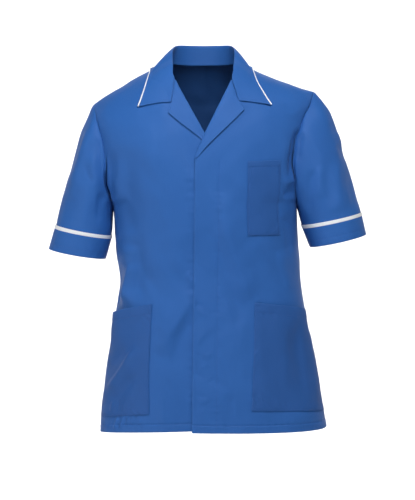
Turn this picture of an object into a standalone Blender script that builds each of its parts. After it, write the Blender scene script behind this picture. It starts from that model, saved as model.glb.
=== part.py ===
"""Short-sleeved medical tunic with a notched collar, in its worn shape.

Units are metres. +X is the wearer's left, +Y is behind, +Z is up.
The origin is the middle of the neck base.
Every cloth piece is a grid of points on its outer face, closed into a wall of even thickness.
"""

import math

import bmesh
import bpy
import numpy as np
from mathutils import Vector
from mathutils.bvhtree import BVHTree

# Wall of the cloth, gap at a seam and gap under a piece that lies on another.
WALL = 0.0016
SEAM = 0.0004
LAY = 0.0006
# Heights of the hem, the chest line and the top of the straight part of the sides.
HEM_Z = -0.745
CHEST_Z = -0.200
TIP_Z = -0.060
# The height code q: 0 at the chest line, 1 on the shoulder line, and one unit down in this run.
LOW_RUN = 0.280
ARMPIT_Q = -0.304
# Shoulder line behind the origin, and the power that squares the body's section.
RIDGE_Y = 0.012
ROUND = 0.87
# The row code v: hem, armpit, break of the lapel, crossing of the fronts, gorge and shoulder.
ARMPIT_V = 0.60
GORGE_V = 0.92
ROW_MARKS = (0.0, ARMPIT_V, 0.72, 0.78, GORGE_V, 1.0)
ROW_COUNTS = (10, 4, 2, 7, 4)
PANEL_COLUMNS = 15
# How far the front that lies under drops at its edge, below and beside the neck opening.
UNDERLAP_LOW = 0.0028
UNDERLAP_TOP = 0.0072
UNDERLAP_EDGE = -0.092
UNDERLAP_RUN = 0.066
FRONT_EDGE_LEFT = (-0.0257, -0.0205)
FRONT_EDGE_RIGHT = (0.0220, 0.0220)
# Lapel: hidden leg behind the roll, clearance to the collar and rise just past the roll.
LAPEL_ROWS = 11
LAPEL_COLUMNS = 7
LAPEL_TIP = 0.86
HIDDEN_LEG = 0.008
GORGE_CLEAR = 0.0007
LAPEL_RISE = 0.0016
RISE_RUN = 0.009
# Collar: clearances to the neck, the gorge and the body, and the half width of its fold.
COLLAR_COLUMNS = 22
COLLAR_ROWS = 12
STAND_CLEAR = 0.0009
STAND_DROP = 0.0012
END_RISE = 0.0014
COLLAR_CLEAR = 0.0015
COLLAR_GORGE = 0.0006
FOLD_TURN = 0.0055
LEAST_STAND = 0.0015
FOLD_SHARE = 0.60
# Strip along the collar edge: half sizes, gap to the collar and height over the body.
PIPING_WIDE = 0.0019
PIPING_THICK = 0.0011
PIPING_GAP = 0.0006
PIPING_CLEAR = 0.0025
# Sleeve: clearances to the armhole and inside the cuff, and its grid.
SLEEVE_OUT = 0.0011
SLEEVE_UP = 0.0005
CUFF_CLEAR = 0.0012
SLEEVE_ROWS = 9
ARM_COUNT = 28
CUFF_ROWS = 2
TAPE_PROUD = 0.0002
# Pockets.
POCKET_CLEAR = 0.0005
POCKET_ROWS = 12
POCKET_COLUMNS = 9
CHEST_ROWS = 10
CHEST_COLUMNS = 5
# A point inside the body at the height of the collar.
NECK_CENTRE = (0.0, 0.0, -0.25)

BLUE = (0.050, 0.155, 0.430, 1.0)
WHITE = (0.800, 0.820, 0.850, 1.0)

# Sections of the body: height, half widths to the right and left, depths to the front and back.
BODY = np.array((
    (-0.745, 0.2140, 0.2500, 0.136, 0.132),
    (-0.685, 0.2090, 0.2400, 0.134, 0.132),
    (-0.623, 0.2030, 0.2276, 0.131, 0.130),
    (-0.562, 0.1930, 0.2170, 0.128, 0.124),
    (-0.500, 0.1825, 0.2050, 0.124, 0.114),
    (-0.439, 0.1740, 0.1958, 0.121, 0.104),
    (-0.390, 0.1800, 0.1927, 0.123, 0.106),
    (-0.336, 0.1845, 0.1896, 0.128, 0.114),
    (-0.285, 0.1870, 0.1880, 0.132, 0.120),
    (-0.270, 0.2000, 0.1910, 0.133, 0.121),
    (-0.240, 0.2140, 0.1935, 0.134, 0.122),
    (-0.200, 0.2180, 0.1955, 0.135, 0.122),
    (-0.160, 0.2230, 0.2020, 0.135, 0.122),
    (-0.120, 0.2310, 0.2120, 0.135, 0.122),
    (-0.090, 0.2345, 0.2220, 0.135, 0.122),
    (-0.060, 0.2350, 0.2265, 0.135, 0.122),
))

# Line along the top of the shoulders: distance from the middle, height to the right and left.
RIDGE = np.array((
    (0.000, 0.0380, 0.0380),
    (0.050, 0.0235, 0.0220),
    (0.080, 0.0070, 0.0030),
    (0.110, -0.0110, -0.0140),
    (0.160, -0.0375, -0.0350),
    (0.215, -0.0700, -0.0500),
    (0.250, -0.0950, -0.0590),
))

# Armhole edge: row, angle round the body at the front and at the back in degrees, height code.
ARMHOLE = np.array((
    (0.600, 90.0, 90.0, -0.304),
    (0.622, 82.0, 98.0, -0.290),
    (0.655, 73.5, 107.0, -0.235),
    (0.700, 68.5, 112.0, -0.130),
    (0.760, 66.0, 114.5, 0.030),
    (0.830, 66.0, 114.5, 0.280),
    (0.900, 67.0, 113.5, 0.580),
    (0.950, 68.5, 112.0, 0.800),
    (1.000, 70.0, 110.0, 1.000),
))

# Neck seam from the middle of the back to the gorge: x to the right and left, y.
NECK = np.array((
    (-0.0020, -0.0020, 0.0625),
    (-0.0330, 0.0280, 0.0585),
    (-0.0580, 0.0530, 0.0440),
    (-0.0745, 0.0700, 0.0220),
    (-0.0805, 0.0765, 0.0000),
    (-0.0785, 0.0745, -0.0260),
    (-0.0730, 0.0675, -0.0520),
    (-0.0638, 0.0553, -0.0715),
))

# Gorge seam and roll line seen from the front: x and z from the notch down to the break.
GORGE_RIGHT = ((-0.0672, -0.0816), (-0.0623, -0.0335))
GORGE_LEFT = ((0.0664, -0.0794), (0.0538, -0.0375))
V_POINT = (0.0, -0.1420)
BREAK_LEFT = (-0.0195, -0.1950)
BREAK_RIGHT = (0.0120, -0.1630)

# Outer edge of each lapel from its lower end to the tip: x and z.
LAPEL_EDGE_LEFT = (
    (-0.0150, -0.1930),
    (0.0010, -0.1740),
    (0.0300, -0.1450),
    (0.0560, -0.1200),
    (0.0778, -0.0973),
)
LAPEL_EDGE_RIGHT = (
    (0.0030, -0.1670),
    (-0.0091, -0.1539),
    (-0.0310, -0.1365),
    (-0.0520, -0.1210),
    (-0.0722, -0.1041),
)

# Fold of the collar from the middle of the back to the gorge: x to the right and left, y, z.
COLLAR_FOLD = np.array((
    (-0.0020, -0.0020, 0.0605, 0.0475),
    (-0.0330, 0.0280, 0.0555, 0.0475),
    (-0.0560, 0.0500, 0.0380, 0.0460),
    (-0.0645, 0.0585, 0.0150, 0.0400),
    (-0.0670, 0.0610, -0.0080, 0.0300),
    (-0.0675, 0.0605, -0.0320, 0.0120),
    (-0.0668, 0.0592, -0.0545, -0.0025),
))

# Outer edge of the collar from the middle of the back to the tip: right x, z, left x, z, behind.
COLLAR_EDGE = np.array((
    (-0.0020, -0.0160, -0.0020, -0.0160, 1),
    (-0.0440, -0.0180, 0.0380, -0.0170, 1),
    (-0.0800, -0.0205, 0.0700, -0.0160, 1),
    (-0.1020, -0.0135, 0.0880, -0.0080, 1),
    (-0.1112, -0.0165, 0.0955, -0.0115, 0),
    (-0.1150, -0.0290, 0.0995, -0.0235, 0),
    (-0.1185, -0.0400, 0.1030, -0.0350, 0),
    (-0.1215, -0.0500, 0.1070, -0.0440, 0),
    (-0.1245, -0.0600, 0.1125, -0.0540, 0),
    (-0.1295, -0.0755, 0.1225, -0.0710, 0),
    (-0.1343, -0.0908, 0.1329, -0.0874, 0),
))

# Outer line of each sleeve from the shoulder tip to the tape: x and z.
SLEEVE_LINE_RIGHT = (
    (-0.2380, -0.0980),
    (-0.2520, -0.1310),
    (-0.2660, -0.1800),
    (-0.2810, -0.2300),
    (-0.2950, -0.2790),
)
SLEEVE_LINE_LEFT = (
    (0.2400, -0.0720),
    (0.2540, -0.0950),
    (0.2700, -0.1400),
    (0.2830, -0.1900),
    (0.3010, -0.2420),
)

# Rings at the sleeve end: outer x, z, inner x, z for the tape top, cuff top and cuff hem.
RINGS_RIGHT = (
    (-0.3060, -0.3245, -0.1904, -0.3467),
    (-0.3080, -0.3320, -0.1914, -0.3535),
    (-0.3200, -0.3735, -0.2030, -0.3940),
)
RINGS_LEFT = (
    (0.3203, -0.2991, 0.1963, -0.3255),
    (0.3213, -0.3060, 0.1991, -0.3325),
    (0.3300, -0.3440, 0.2141, -0.3702),
)
RING_DEPTH = 0.0580
RING_Y = -0.004
RING_DIP = 0.0050

# Soft folds on the body: behind, start x, z, end x, z, width, height.
FOLDS = np.array((
    (0, -0.148, -0.380, -0.164, -0.470, 0.018, 0.0055),
    (0, -0.030, -0.470, -0.085, -0.570, 0.022, 0.0040),
    (0, 0.035, -0.285, 0.085, -0.450, 0.022, 0.0045),
    (0, -0.160, -0.190, -0.148, -0.330, 0.020, -0.0040),
    (0, 0.155, -0.560, 0.170, -0.690, 0.030, -0.0035),
    (1, -0.060, -0.360, -0.080, -0.620, 0.026, 0.0045),
    (1, 0.065, -0.350, 0.085, -0.600, 0.026, 0.0045),
    (1, 0.002, -0.400, 0.000, -0.560, 0.028, -0.0035),
    (1, -0.130, -0.330, -0.060, -0.450, 0.022, 0.0030),
    (1, 0.135, -0.320, 0.060, -0.440, 0.022, 0.0030),
))

# Patch pockets: corners at the mouth (near, far) and at the base (far, near), gape at the far corner.
POCKET_LOWER_LEFT = ((0.0985, -0.4824), (0.2010, -0.4976), (0.2400, -0.7021), (0.0923, -0.6963), 0.004)
POCKET_LOWER_RIGHT = ((-0.1056, -0.4857), (-0.1795, -0.5061), (-0.2080, -0.7153), (-0.1113, -0.7041), 0.010)
POCKET_CHEST = ((0.0849, -0.2016), (0.1499, -0.1974), (0.1493, -0.3459), (0.0847, -0.3478), 0.0)


def through(xs, ys, at):
    """Smooth line through a short table, without overshoot."""
    xs = np.asarray(xs, dtype=float)
    ys = np.asarray(ys, dtype=float)
    step = np.diff(xs)
    slope = np.diff(ys) / step
    bend = np.zeros(len(xs))
    both = slope[:-1] * slope[1:]
    total = slope[:-1] + slope[1:]
    safe = np.where(both > 0, total, 1.0)
    bend[1:-1] = np.where(both > 0, 2.0 * both / safe, 0.0)
    bend[0] = slope[0]
    bend[-1] = slope[-1]
    at = np.clip(at, xs[0], xs[-1])
    i = np.clip(np.searchsorted(xs, at) - 1, 0, len(xs) - 2)
    t = (at - xs[i]) / step[i]
    start = (1 + 2 * t) * (1 - t) ** 2 * ys[i]
    leave = t * (1 - t) ** 2 * step[i] * bend[i]
    end = t * t * (3 - 2 * t) * ys[i + 1]
    arrive = t * t * (t - 1) * step[i] * bend[i + 1]
    return start + leave + end + arrive


def path(points, at):
    """Rounded curve through points, 0 to 1 along it."""
    points = np.asarray(points, dtype=float)
    run = np.linalg.norm(np.diff(points, axis=0), axis=1)
    knots = np.concatenate(((0.0,), np.cumsum(run)))
    knots = knots / knots[-1]
    bend = np.gradient(points, knots, axis=0)
    at = np.clip(np.asarray(at, dtype=float), 0.0, 1.0)
    i = np.clip(np.searchsorted(knots, at) - 1, 0, len(points) - 2)
    step = knots[i + 1] - knots[i]
    t = ((at - knots[i]) / step)[..., None]
    step = step[..., None]
    start = (1 + 2 * t) * (1 - t) ** 2 * points[i]
    leave = t * (1 - t) ** 2 * step * bend[i]
    end = t * t * (3 - 2 * t) * points[i + 1]
    arrive = t * t * (t - 1) * step * bend[i + 1]
    return start + leave + end + arrive


def ease(value):
    """Soft step from 0 to 1."""
    value = np.clip(value, 0.0, 1.0)
    return value * value * (3.0 - 2.0 * value)


def half_width(left, q):
    """Half width of the body on one side at a height code."""
    rise = np.sin(np.clip(q, 0, 1) * math.pi / 2)
    z = np.where(q <= 0, CHEST_Z + q * LOW_RUN, CHEST_Z + (TIP_Z - CHEST_Z) * rise)
    right_half = through(BODY[:, 0], BODY[:, 1], z)
    left_half = through(BODY[:, 0], BODY[:, 2], z)
    return np.where(left, left_half, right_half)


def ridge_height(x):
    """Height of the shoulder line over a point."""
    right = through(RIDGE[:, 0], RIDGE[:, 1], np.abs(x))
    left = through(RIDGE[:, 0], RIDGE[:, 2], np.abs(x))
    return np.where(x >= 0, left, right)


def body(theta, q):
    """Point on the plain body for an angle round it and a height code."""
    theta = np.mod(np.asarray(theta, dtype=float) + math.pi, 2 * math.pi) - math.pi
    q = np.clip(np.asarray(q, dtype=float), -3.0, 1.0)
    theta, q = np.broadcast_arrays(theta, q)
    turn = np.clip(q, 0.0, 1.0) * math.pi / 2
    angle = np.abs(theta)
    behind = angle > math.pi / 2
    x = np.sign(theta) * half_width(theta >= 0, q) * np.abs(np.sin(angle)) ** ROUND
    low = CHEST_Z + q * LOW_RUN
    high = CHEST_Z + (ridge_height(x) - CHEST_Z) * np.sin(turn)
    z = np.where(q <= 0, low, high)
    level = np.minimum(low, CHEST_Z)
    depth = np.where(behind, through(BODY[:, 0], BODY[:, 4], level), -through(BODY[:, 0], BODY[:, 3], level))
    y = depth * np.abs(np.cos(angle)) ** ROUND
    y = np.where(q <= 0, y, RIDGE_Y + (y - RIDGE_Y) * np.cos(turn))
    y = y + np.where(behind, SEAM / 2, -SEAM / 2)
    return np.stack((x, y, z), axis=-1)


def fold_height(point, theta):
    """Height of the soft folds at a point."""
    behind = np.abs(theta) > math.pi / 2
    lift = np.zeros(point.shape[:-1])
    for back, x0, z0, x1, z1, width, height in FOLDS:
        run = np.array((x1 - x0, z1 - z0))
        length = np.linalg.norm(run)
        run = run / length
        dx = point[..., 0] - x0
        dz = point[..., 2] - z0
        along = (dx * run[0] + dz * run[1]) / length
        across = dx * run[1] - dz * run[0]
        fade = ease(along * 4 + 0.8) * ease((1 - along) * 4 + 0.8)
        ridge = np.exp(-(across / width) ** 2) * fade * height
        lift = lift + np.where(behind == (back > 0.5), ridge, 0.0)
    near_seam = np.abs(np.abs(theta) - math.pi / 2)
    return lift * ease(near_seam / 0.20)


def surface(theta, q, lift=0.0):
    """Point on the cloth of the body, moved out by a lift."""
    given = [np.asarray(value, dtype=float) for value in (theta, q, lift)]
    theta, q, lift = np.broadcast_arrays(*given)
    tiny = 0.004
    point = body(theta, q)
    around = body(theta + tiny, q) - body(theta - tiny, q)
    up = body(theta, np.minimum(q + tiny, 1.0)) - body(theta, q - tiny)
    normal = np.cross(around, up)
    normal = normal / np.linalg.norm(normal, axis=-1, keepdims=True)
    total = fold_height(point, theta) + lift
    return point + normal * total[..., None]


def chart(x, z, behind=False):
    """Angle and height code of a point seen from the front or the back."""
    x = np.asarray(x, dtype=float)
    z = np.asarray(z, dtype=float)
    rise = np.clip((z - CHEST_Z) / (ridge_height(x) - CHEST_Z), 0.0, 1.0)
    q = np.where(z <= CHEST_Z, (z - CHEST_Z) / LOW_RUN, np.arcsin(rise) * 2 / math.pi)
    ratio = np.clip(np.abs(x) / half_width(x >= 0, q), 0.0, 1.0)
    theta = np.arcsin(ratio ** (1 / ROUND))
    theta = np.where(behind, math.pi - theta, theta)
    return np.where(x >= 0, theta, -theta), q


def chart_top(x, y):
    """Angle and height code of a point seen from above."""
    behind = y > RIDGE_Y
    theta = np.zeros_like(x)
    q = np.full_like(x, 0.7)
    for _ in range(12):
        ratio = np.clip(np.abs(x) / half_width(x >= 0, q), 0.0, 1.0)
        theta = np.arcsin(ratio ** (1 / ROUND))
        depth = np.where(behind, BODY[-1, 4], -BODY[-1, 3]) * np.cos(theta) ** ROUND
        share = np.clip((y - RIDGE_Y) / (depth - RIDGE_Y), 0.0, 1.0)
        q = np.arccos(share) * 2 / math.pi
    theta = np.where(behind, math.pi - theta, theta)
    return np.where(x >= 0, theta, -theta), q


def underlap(x, z):
    """Lift of the front that lies under, close to the middle."""
    deep = UNDERLAP_LOW + (UNDERLAP_TOP - UNDERLAP_LOW) * ease((z + 0.245) / 0.065)
    return -deep * ease((x - UNDERLAP_EDGE) / UNDERLAP_RUN)


def split_neck(left):
    """Neck seam as angle and height code: the back part, then the front part down to the gorge."""
    column = 1 if left else 0
    flat = path(np.stack((NECK[:, column], NECK[:, 2]), axis=1), np.linspace(0, 1, 241))
    cross_x = np.interp(-RIDGE_Y, -flat[:, 1], flat[:, 0])
    gorge_theta, gorge_q = chart(*(GORGE_LEFT[1] if left else GORGE_RIGHT[1]))
    parts = []
    for behind in (True, False):
        part = flat[flat[:, 1] > RIDGE_Y] if behind else flat[flat[:, 1] < RIDGE_Y]
        theta, q = chart_top(part[:, 0], part[:, 1])
        theta = np.abs(theta)
        top = np.array((cross_x,)), np.array((RIDGE_Y - 1e-9,))
        top_theta = np.abs(chart_top(*top)[0][0])
        if behind:
            theta = np.append(theta, math.pi - top_theta)
            q = np.append(q, 1.0)
        else:
            theta = np.concatenate(((top_theta,), theta, (abs(gorge_theta),)))
            q = np.concatenate(((1.0,), q, (gorge_q,)))
        side = 1.0 if left else -1.0
        point = body(side * np.minimum(theta, math.pi - 1e-6), q)
        run = np.concatenate(((0.0,), np.cumsum(np.linalg.norm(np.diff(point, axis=0), axis=1))))
        at = np.linspace(0, run[-1], 81)
        parts.append((side * np.interp(at, run, theta), np.interp(at, run, q)))
    return parts


def armhole(v, left, behind):
    """Angle and height code of the armhole edge at a row."""
    column = 2 if behind else 1
    theta = np.radians(through(ARMHOLE[:, 0], ARMHOLE[:, column], v))
    theta = np.maximum(theta, math.pi / 2 + 1e-6) if behind else theta
    q = through(ARMHOLE[:, 0], ARMHOLE[:, 3], v)
    return np.where(left, theta, -theta), q


def front_rows(counts):
    """Rows from the hem to the shoulder: hem, armpit, break, crossing, gorge, shoulder."""
    rows = np.zeros(1)
    for start, end, count in zip(ROW_MARKS[:-1], ROW_MARKS[1:], counts):
        rows = np.concatenate((rows, np.linspace(start, end, count + 1)[1:]))
    return rows


def roll_line(left):
    """Break, crossing and gorge points of a roll line."""
    if left:
        return np.array((BREAK_LEFT, V_POINT, GORGE_LEFT[1]))
    return np.array((BREAK_RIGHT, V_POINT, GORGE_RIGHT[1]))


def front_inner(v, left):
    """Angle and height code along the inner edge of a front."""
    roll = roll_line(left)
    hem_x, arm_x = FRONT_EDGE_LEFT if left else FRONT_EDGE_RIGHT
    knots = np.array(ROW_MARKS[:5])
    xs = np.array((hem_x, arm_x, roll[0, 0], roll[1, 0], roll[2, 0]))
    zs = np.array((HEM_Z, CHEST_Z + ARMPIT_Q * LOW_RUN, roll[0, 1], roll[1, 1], roll[2, 1]))
    theta, q = chart(np.interp(v, knots, xs), np.interp(v, knots, zs))
    front_neck = split_neck(left)[1]
    share = np.clip((v - GORGE_V) / (1 - GORGE_V), 0, 1)
    spots = np.linspace(1, 0, len(front_neck[0]))
    neck_theta = np.interp(share, spots[::-1], front_neck[0][::-1])
    neck_q = np.interp(share, spots[::-1], front_neck[1][::-1])
    return np.where(v > GORGE_V, neck_theta, theta), np.where(v > GORGE_V, neck_q, q)


def side_edge(v, left, behind):
    """Side seam below the armpit and armhole above it."""
    theta, q = armhole(np.maximum(v, ARMPIT_V), left, behind)
    z = np.interp(v, (0.0, ARMPIT_V), (HEM_Z, CHEST_Z + ARMPIT_Q * LOW_RUN))
    low_q = (z - CHEST_Z) / LOW_RUN
    side = math.pi / 2 + (1e-6 if behind else 0.0)
    side = side if left else -side
    below = v < ARMPIT_V
    return np.where(below, side, theta), np.where(below, low_q, q)


def front_grid(left, rows, columns, drop=0.0):
    """Points of a front, dropped below its outer face."""
    v = rows[:, None]
    across = np.linspace(0, 1, columns + 1)[None, :] ** 1.25
    theta0, q0 = front_inner(v, left)
    theta1, q1 = side_edge(v, left, False)
    theta = theta0 + (theta1 - theta0) * across
    q = q0 + (q1 - q0) * across
    point = surface(theta, q)
    lift = 0.0 if left else underlap(point[..., 0], point[..., 2])
    return surface(theta, q, lift - drop)


def back_half(left, rows, columns):
    """Angle and height code of half the back, from the middle to the side."""
    theta_neck, q_neck = split_neck(left)[0]
    side_theta, side_q = side_edge(rows, left, True)
    middle_q = np.interp(rows, (0.0, ARMPIT_V, 1.0), ((HEM_Z - CHEST_Z) / LOW_RUN, ARMPIT_Q, q_neck[0]))
    across = np.linspace(0, 1, columns + 1)
    middle = math.pi if left else -math.pi
    neck_theta = np.abs(theta_neck)
    tip = abs(side_theta[-1])
    split = 0.42
    share = np.linspace(0, 1, len(neck_theta))
    top_theta = np.where(across < split, np.interp(across / split, share, neck_theta),
                         neck_theta[-1] + (tip - neck_theta[-1]) * (across - split) / (1 - split))
    top_q = np.where(across < split, np.interp(across / split, share, q_neck), 1.0)
    low_theta = math.pi - across * math.pi / 2
    theta = np.zeros((len(rows), columns + 1))
    q = np.zeros((len(rows), columns + 1))
    for i, v in enumerate(rows):
        up = max(0.0, (v - ARMPIT_V) / (1 - ARMPIT_V))
        base_theta = (1 - up) * low_theta + up * top_theta
        edge_theta = (1 - up) * low_theta[-1] + up * top_theta[-1]
        theta[i] = base_theta + across * (abs(side_theta[i]) - edge_theta)
        low_q = middle_q[i] if v <= ARMPIT_V else ARMPIT_Q
        base_q = (1 - up) * low_q + up * top_q
        edge_q = (1 - up) * low_q + up * top_q[-1]
        start_q = (1 - up) * low_q + up * top_q[0]
        q[i] = base_q + across * (side_q[i] - edge_q) + (1 - across) * (middle_q[i] - start_q)
    theta = np.minimum(theta, math.pi - 1e-6)
    return (theta if left else -theta), q


def back_grid(rows, columns, drop=0.0):
    """Points of the back from the left side to the right, dropped below its outer face."""
    theta_left, q_left = back_half(True, rows, columns)
    theta_right, q_right = back_half(False, rows, columns)
    left = surface(theta_left, q_left, -drop)
    right = surface(theta_right, q_right, -drop)
    middle = (left[:, :1] + right[:, :1]) / 2
    return np.concatenate((left[:, :0:-1], middle, right[:, 1:]), axis=1)


def armhole_loop(left, count):
    """Armhole edge as a loop: tip, front, armpit, back; with the way out of the cloth."""
    rows = np.linspace(1.0, ARMPIT_V, 81)
    loops = []
    for behind in (False, True):
        theta, q = armhole(rows, left, behind)
        edge = surface(theta, q)
        inside = surface(theta * (0.97 if not behind else 1.03), q)
        normal = surface(theta, q, 0.001) - edge
        normal = normal / np.linalg.norm(normal, axis=1, keepdims=True)
        along = np.gradient(edge, axis=0)
        along = along / np.linalg.norm(along, axis=1, keepdims=True)
        out = np.cross(along, normal)
        flip = np.sign(np.sum(out * (edge - inside), axis=1, keepdims=True))
        loops.append(np.concatenate((edge, out * flip, normal), axis=1))
    parts = []
    for loop in loops:
        run = np.concatenate(((0.0,), np.cumsum(np.linalg.norm(np.diff(loop[:, :3], axis=0), axis=1))))
        at = np.linspace(0, run[-1], count // 2 + 1)
        parts.append(np.stack([np.interp(at, run, loop[:, k]) for k in range(9)], axis=1))
    return np.concatenate((parts[0][:-1], parts[1][::-1][:-1]))


def ring(spec, phi, inset=0.0, raised=0.0):
    """Ring round the arm: outer point at 0, front at a quarter turn."""
    outer = np.array((spec[0], RING_Y, spec[1]))
    inner = np.array((spec[2], RING_Y, spec[3]))
    middle = (outer + inner) / 2
    reach = (outer - inner) / 2
    length = np.linalg.norm(reach)
    reach = reach / length
    ahead = np.array((0.0, -RING_DEPTH, -RING_DIP)) / RING_DEPTH
    cosine = np.cos(phi)[:, None]
    sine = np.sin(phi)[:, None]
    point = middle + reach * (length - inset) * cosine + ahead * (RING_DEPTH - inset) * sine
    point[:, 2] += raised
    return point


def sleeve_grid(left, rows, count):
    """Outer points of a sleeve from the armhole to inside the cuff."""
    side = 1.0 if left else -1.0
    specs = RINGS_LEFT if left else RINGS_RIGHT
    line = SLEEVE_LINE_LEFT if left else SLEEVE_LINE_RIGHT
    phi = np.arange(count) / count * 2 * math.pi
    loop = armhole_loop(left, count)
    start = loop[:, :3] + loop[:, 3:6] * SLEEVE_OUT + loop[:, 6:9] * SLEEVE_UP
    inset = WALL + LAY
    end = ring(specs[0], phi, inset)
    after = ring(specs[2], phi, inset)
    axis = after - end
    axis = axis / np.linalg.norm(axis, axis=1, keepdims=True)
    cosine = np.cos(phi)
    twice = np.cos(2 * phi)
    lead = np.stack((side * (0.6175 + 0.315 * cosine - 0.1825 * twice), -0.30 * np.sin(phi),
                     -0.69 + 0.17 * cosine - 0.14 * twice), axis=1)
    reach = np.linalg.norm(end - start, axis=1)[:, None]
    lead = lead / np.linalg.norm(lead, axis=1, keepdims=True) * reach * 0.75
    arrive = axis * reach * 0.75
    share = np.linspace(0, 1, rows + 1)[:, None, None]
    grid = ((1 + 2 * share) * (1 - share) ** 2 * start + share * (1 - share) ** 2 * lead
            + share ** 2 * (3 - 2 * share) * end + share ** 2 * (share - 1) * arrive)
    outer = np.array([(x, 0.004, z) for x, z in line])
    outer = np.concatenate((start[:1], outer, end[:1]))
    target = path(outer, np.linspace(0, 1, rows + 1))
    pull = np.maximum(cosine, 0.0) ** 1.5
    grid = grid + pull[None, :, None] * (target - grid[:, 0])[:, None, :]
    tail = np.stack((ring(specs[1], phi, inset), ring(specs[2], phi, inset, CUFF_CLEAR)))
    return np.concatenate((grid, tail))


def cuff_grid(left, rows, count, drop=0.0):
    """Points of a cuff, dropped below its outer face."""
    specs = RINGS_LEFT if left else RINGS_RIGHT
    phi = np.arange(count) / count * 2 * math.pi
    top = ring(specs[1], phi, drop)
    low = ring(specs[2], phi, drop)
    share = np.linspace(0, 1, rows + 1)[:, None, None]
    return top + (low - top) * share


def trim_grid(left, rows, count, drop=0.0):
    """Points of the tape above a cuff, dropped below its outer face."""
    specs = RINGS_LEFT if left else RINGS_RIGHT
    phi = np.arange(count) / count * 2 * math.pi
    top = ring(specs[0], phi, drop - TAPE_PROUD)
    low = ring(specs[1], phi, drop - TAPE_PROUD, SEAM + TAPE_PROUD)
    share = np.linspace(0, 1, rows + 1)[:, None, None]
    return top + (low - top) * share


def lapel_grid(left, rows, columns, drop=0.0):
    """Points of a lapel: inside leg, roll and turned-back leg, dropped below the outer face."""
    roll = roll_line(left)
    edge = np.array(LAPEL_EDGE_LEFT if left else LAPEL_EDGE_RIGHT)
    notch = np.array(GORGE_LEFT[0] if left else GORGE_RIGHT[0])
    r = np.concatenate((np.linspace(0, LAPEL_TIP, rows - 1), ((1 + LAPEL_TIP) / 2, 1.0)))
    lengths = np.concatenate(((0.0,), np.cumsum(np.linalg.norm(np.diff(roll, axis=0), axis=1))))
    lengths = lengths / lengths[-1]
    inner = np.stack((np.interp(r, lengths, roll[:, 0]), np.interp(r, lengths, roll[:, 1])), axis=1)
    outer = path(edge, np.minimum(r / LAPEL_TIP, 1.0))
    past = np.clip((r - LAPEL_TIP) / (1 - LAPEL_TIP), 0, 1)[:, None]
    outer = outer + (notch - edge[-1]) * past
    gap = (notch - roll[2]) / np.linalg.norm(notch - roll[2])
    side = np.array((gap[1], -gap[0]))
    side = side * (1 if side[0] * (1 if left else -1) < 0 else -1)
    shift = GORGE_CLEAR * np.clip((r - 0.9) / 0.1, 0, 1)[:, None] * side
    inner = inner + shift
    outer = outer + shift
    width = np.linalg.norm(outer - inner, axis=1)
    way = (outer - inner) / width[:, None]
    along = np.gradient(inner, axis=0)
    square = np.stack((along[:, 1], -along[:, 0]), axis=1)
    square = square / np.linalg.norm(square, axis=1, keepdims=True) * (1 if left else -1)
    radius = LAY + 1.5 * WALL
    turns = np.radians(np.array((-90.0, -45.0, 0.0, 45.0, 90.0)))
    grid = np.zeros((len(r), 1 + len(turns) + columns, 3))
    for i in range(len(r)):
        hump = LAPEL_RISE * math.sin(math.pi * r[i]) if left else 0.0
        leg = min(HIDDEN_LEG, width[i] * 0.4)
        us = [leg]
        bent = radius - drop
        lifts = [-WALL / 2 - bent]
        for turn in turns:
            us.append(-math.cos(turn) * bent)
            lifts.append(-WALL / 2 + math.sin(turn) * bent)
        for k in range(1, columns + 1):
            share = k / columns
            u = share ** 1.25 * width[i]
            us.append(u)
            swell = u / RISE_RUN * math.exp(1 - u / RISE_RUN)
            lifts.append(LAY + WALL + hump * swell - drop)
        us = np.array(us)
        lifts = np.array(lifts)
        turned = np.arange(len(us)) <= len(turns)
        flat = inner[i] + np.where(turned[:, None], square[i], way[i]) * us[:, None]
        theta, q = chart(flat[:, 0], flat[:, 1])
        if not left:
            lifts = lifts + underlap(flat[:, 0], flat[:, 1])
        grid[i] = surface(theta, q, lifts)
    return grid


def grid_tree(grid):
    """Search tree of the outer face of a piece."""
    nr, nc = grid.shape[:2]
    points = [Vector(p) for p in grid.reshape(-1, 3)]
    faces = []
    for i in range(nr - 1):
        for j in range(nc - 1):
            a = i * nc + j
            faces.append((a, a + 1, a + nc + 1, a + nc))
    return BVHTree.FromPolygons(points, faces)


def push_out(point, trees, centre, need):
    """Move a point out until it clears the body, rolling round its free edges."""
    spot = Vector(point)
    for _ in range(4):
        best = min((tree.find_nearest(spot) for tree in trees), key=lambda found: found[3])
        normal = best[1]
        if normal.dot(best[0] - centre) < 0:
            normal = -normal
        away = spot - best[0]
        height = away.dot(normal)
        beside = away.length_squared - height * height
        target = math.sqrt(max(need * need - beside, 0.0))
        if height >= target - 1e-6:
            break
        spot = spot + normal * (target - height)
    return np.array(spot)


def bezier(a, b, c, d, t):
    """Curve with two handles."""
    t = t[:, None]
    return a * (1 - t) ** 3 + 3 * b * t * (1 - t) ** 2 + 3 * c * t ** 2 * (1 - t) + d * t ** 3


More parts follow.
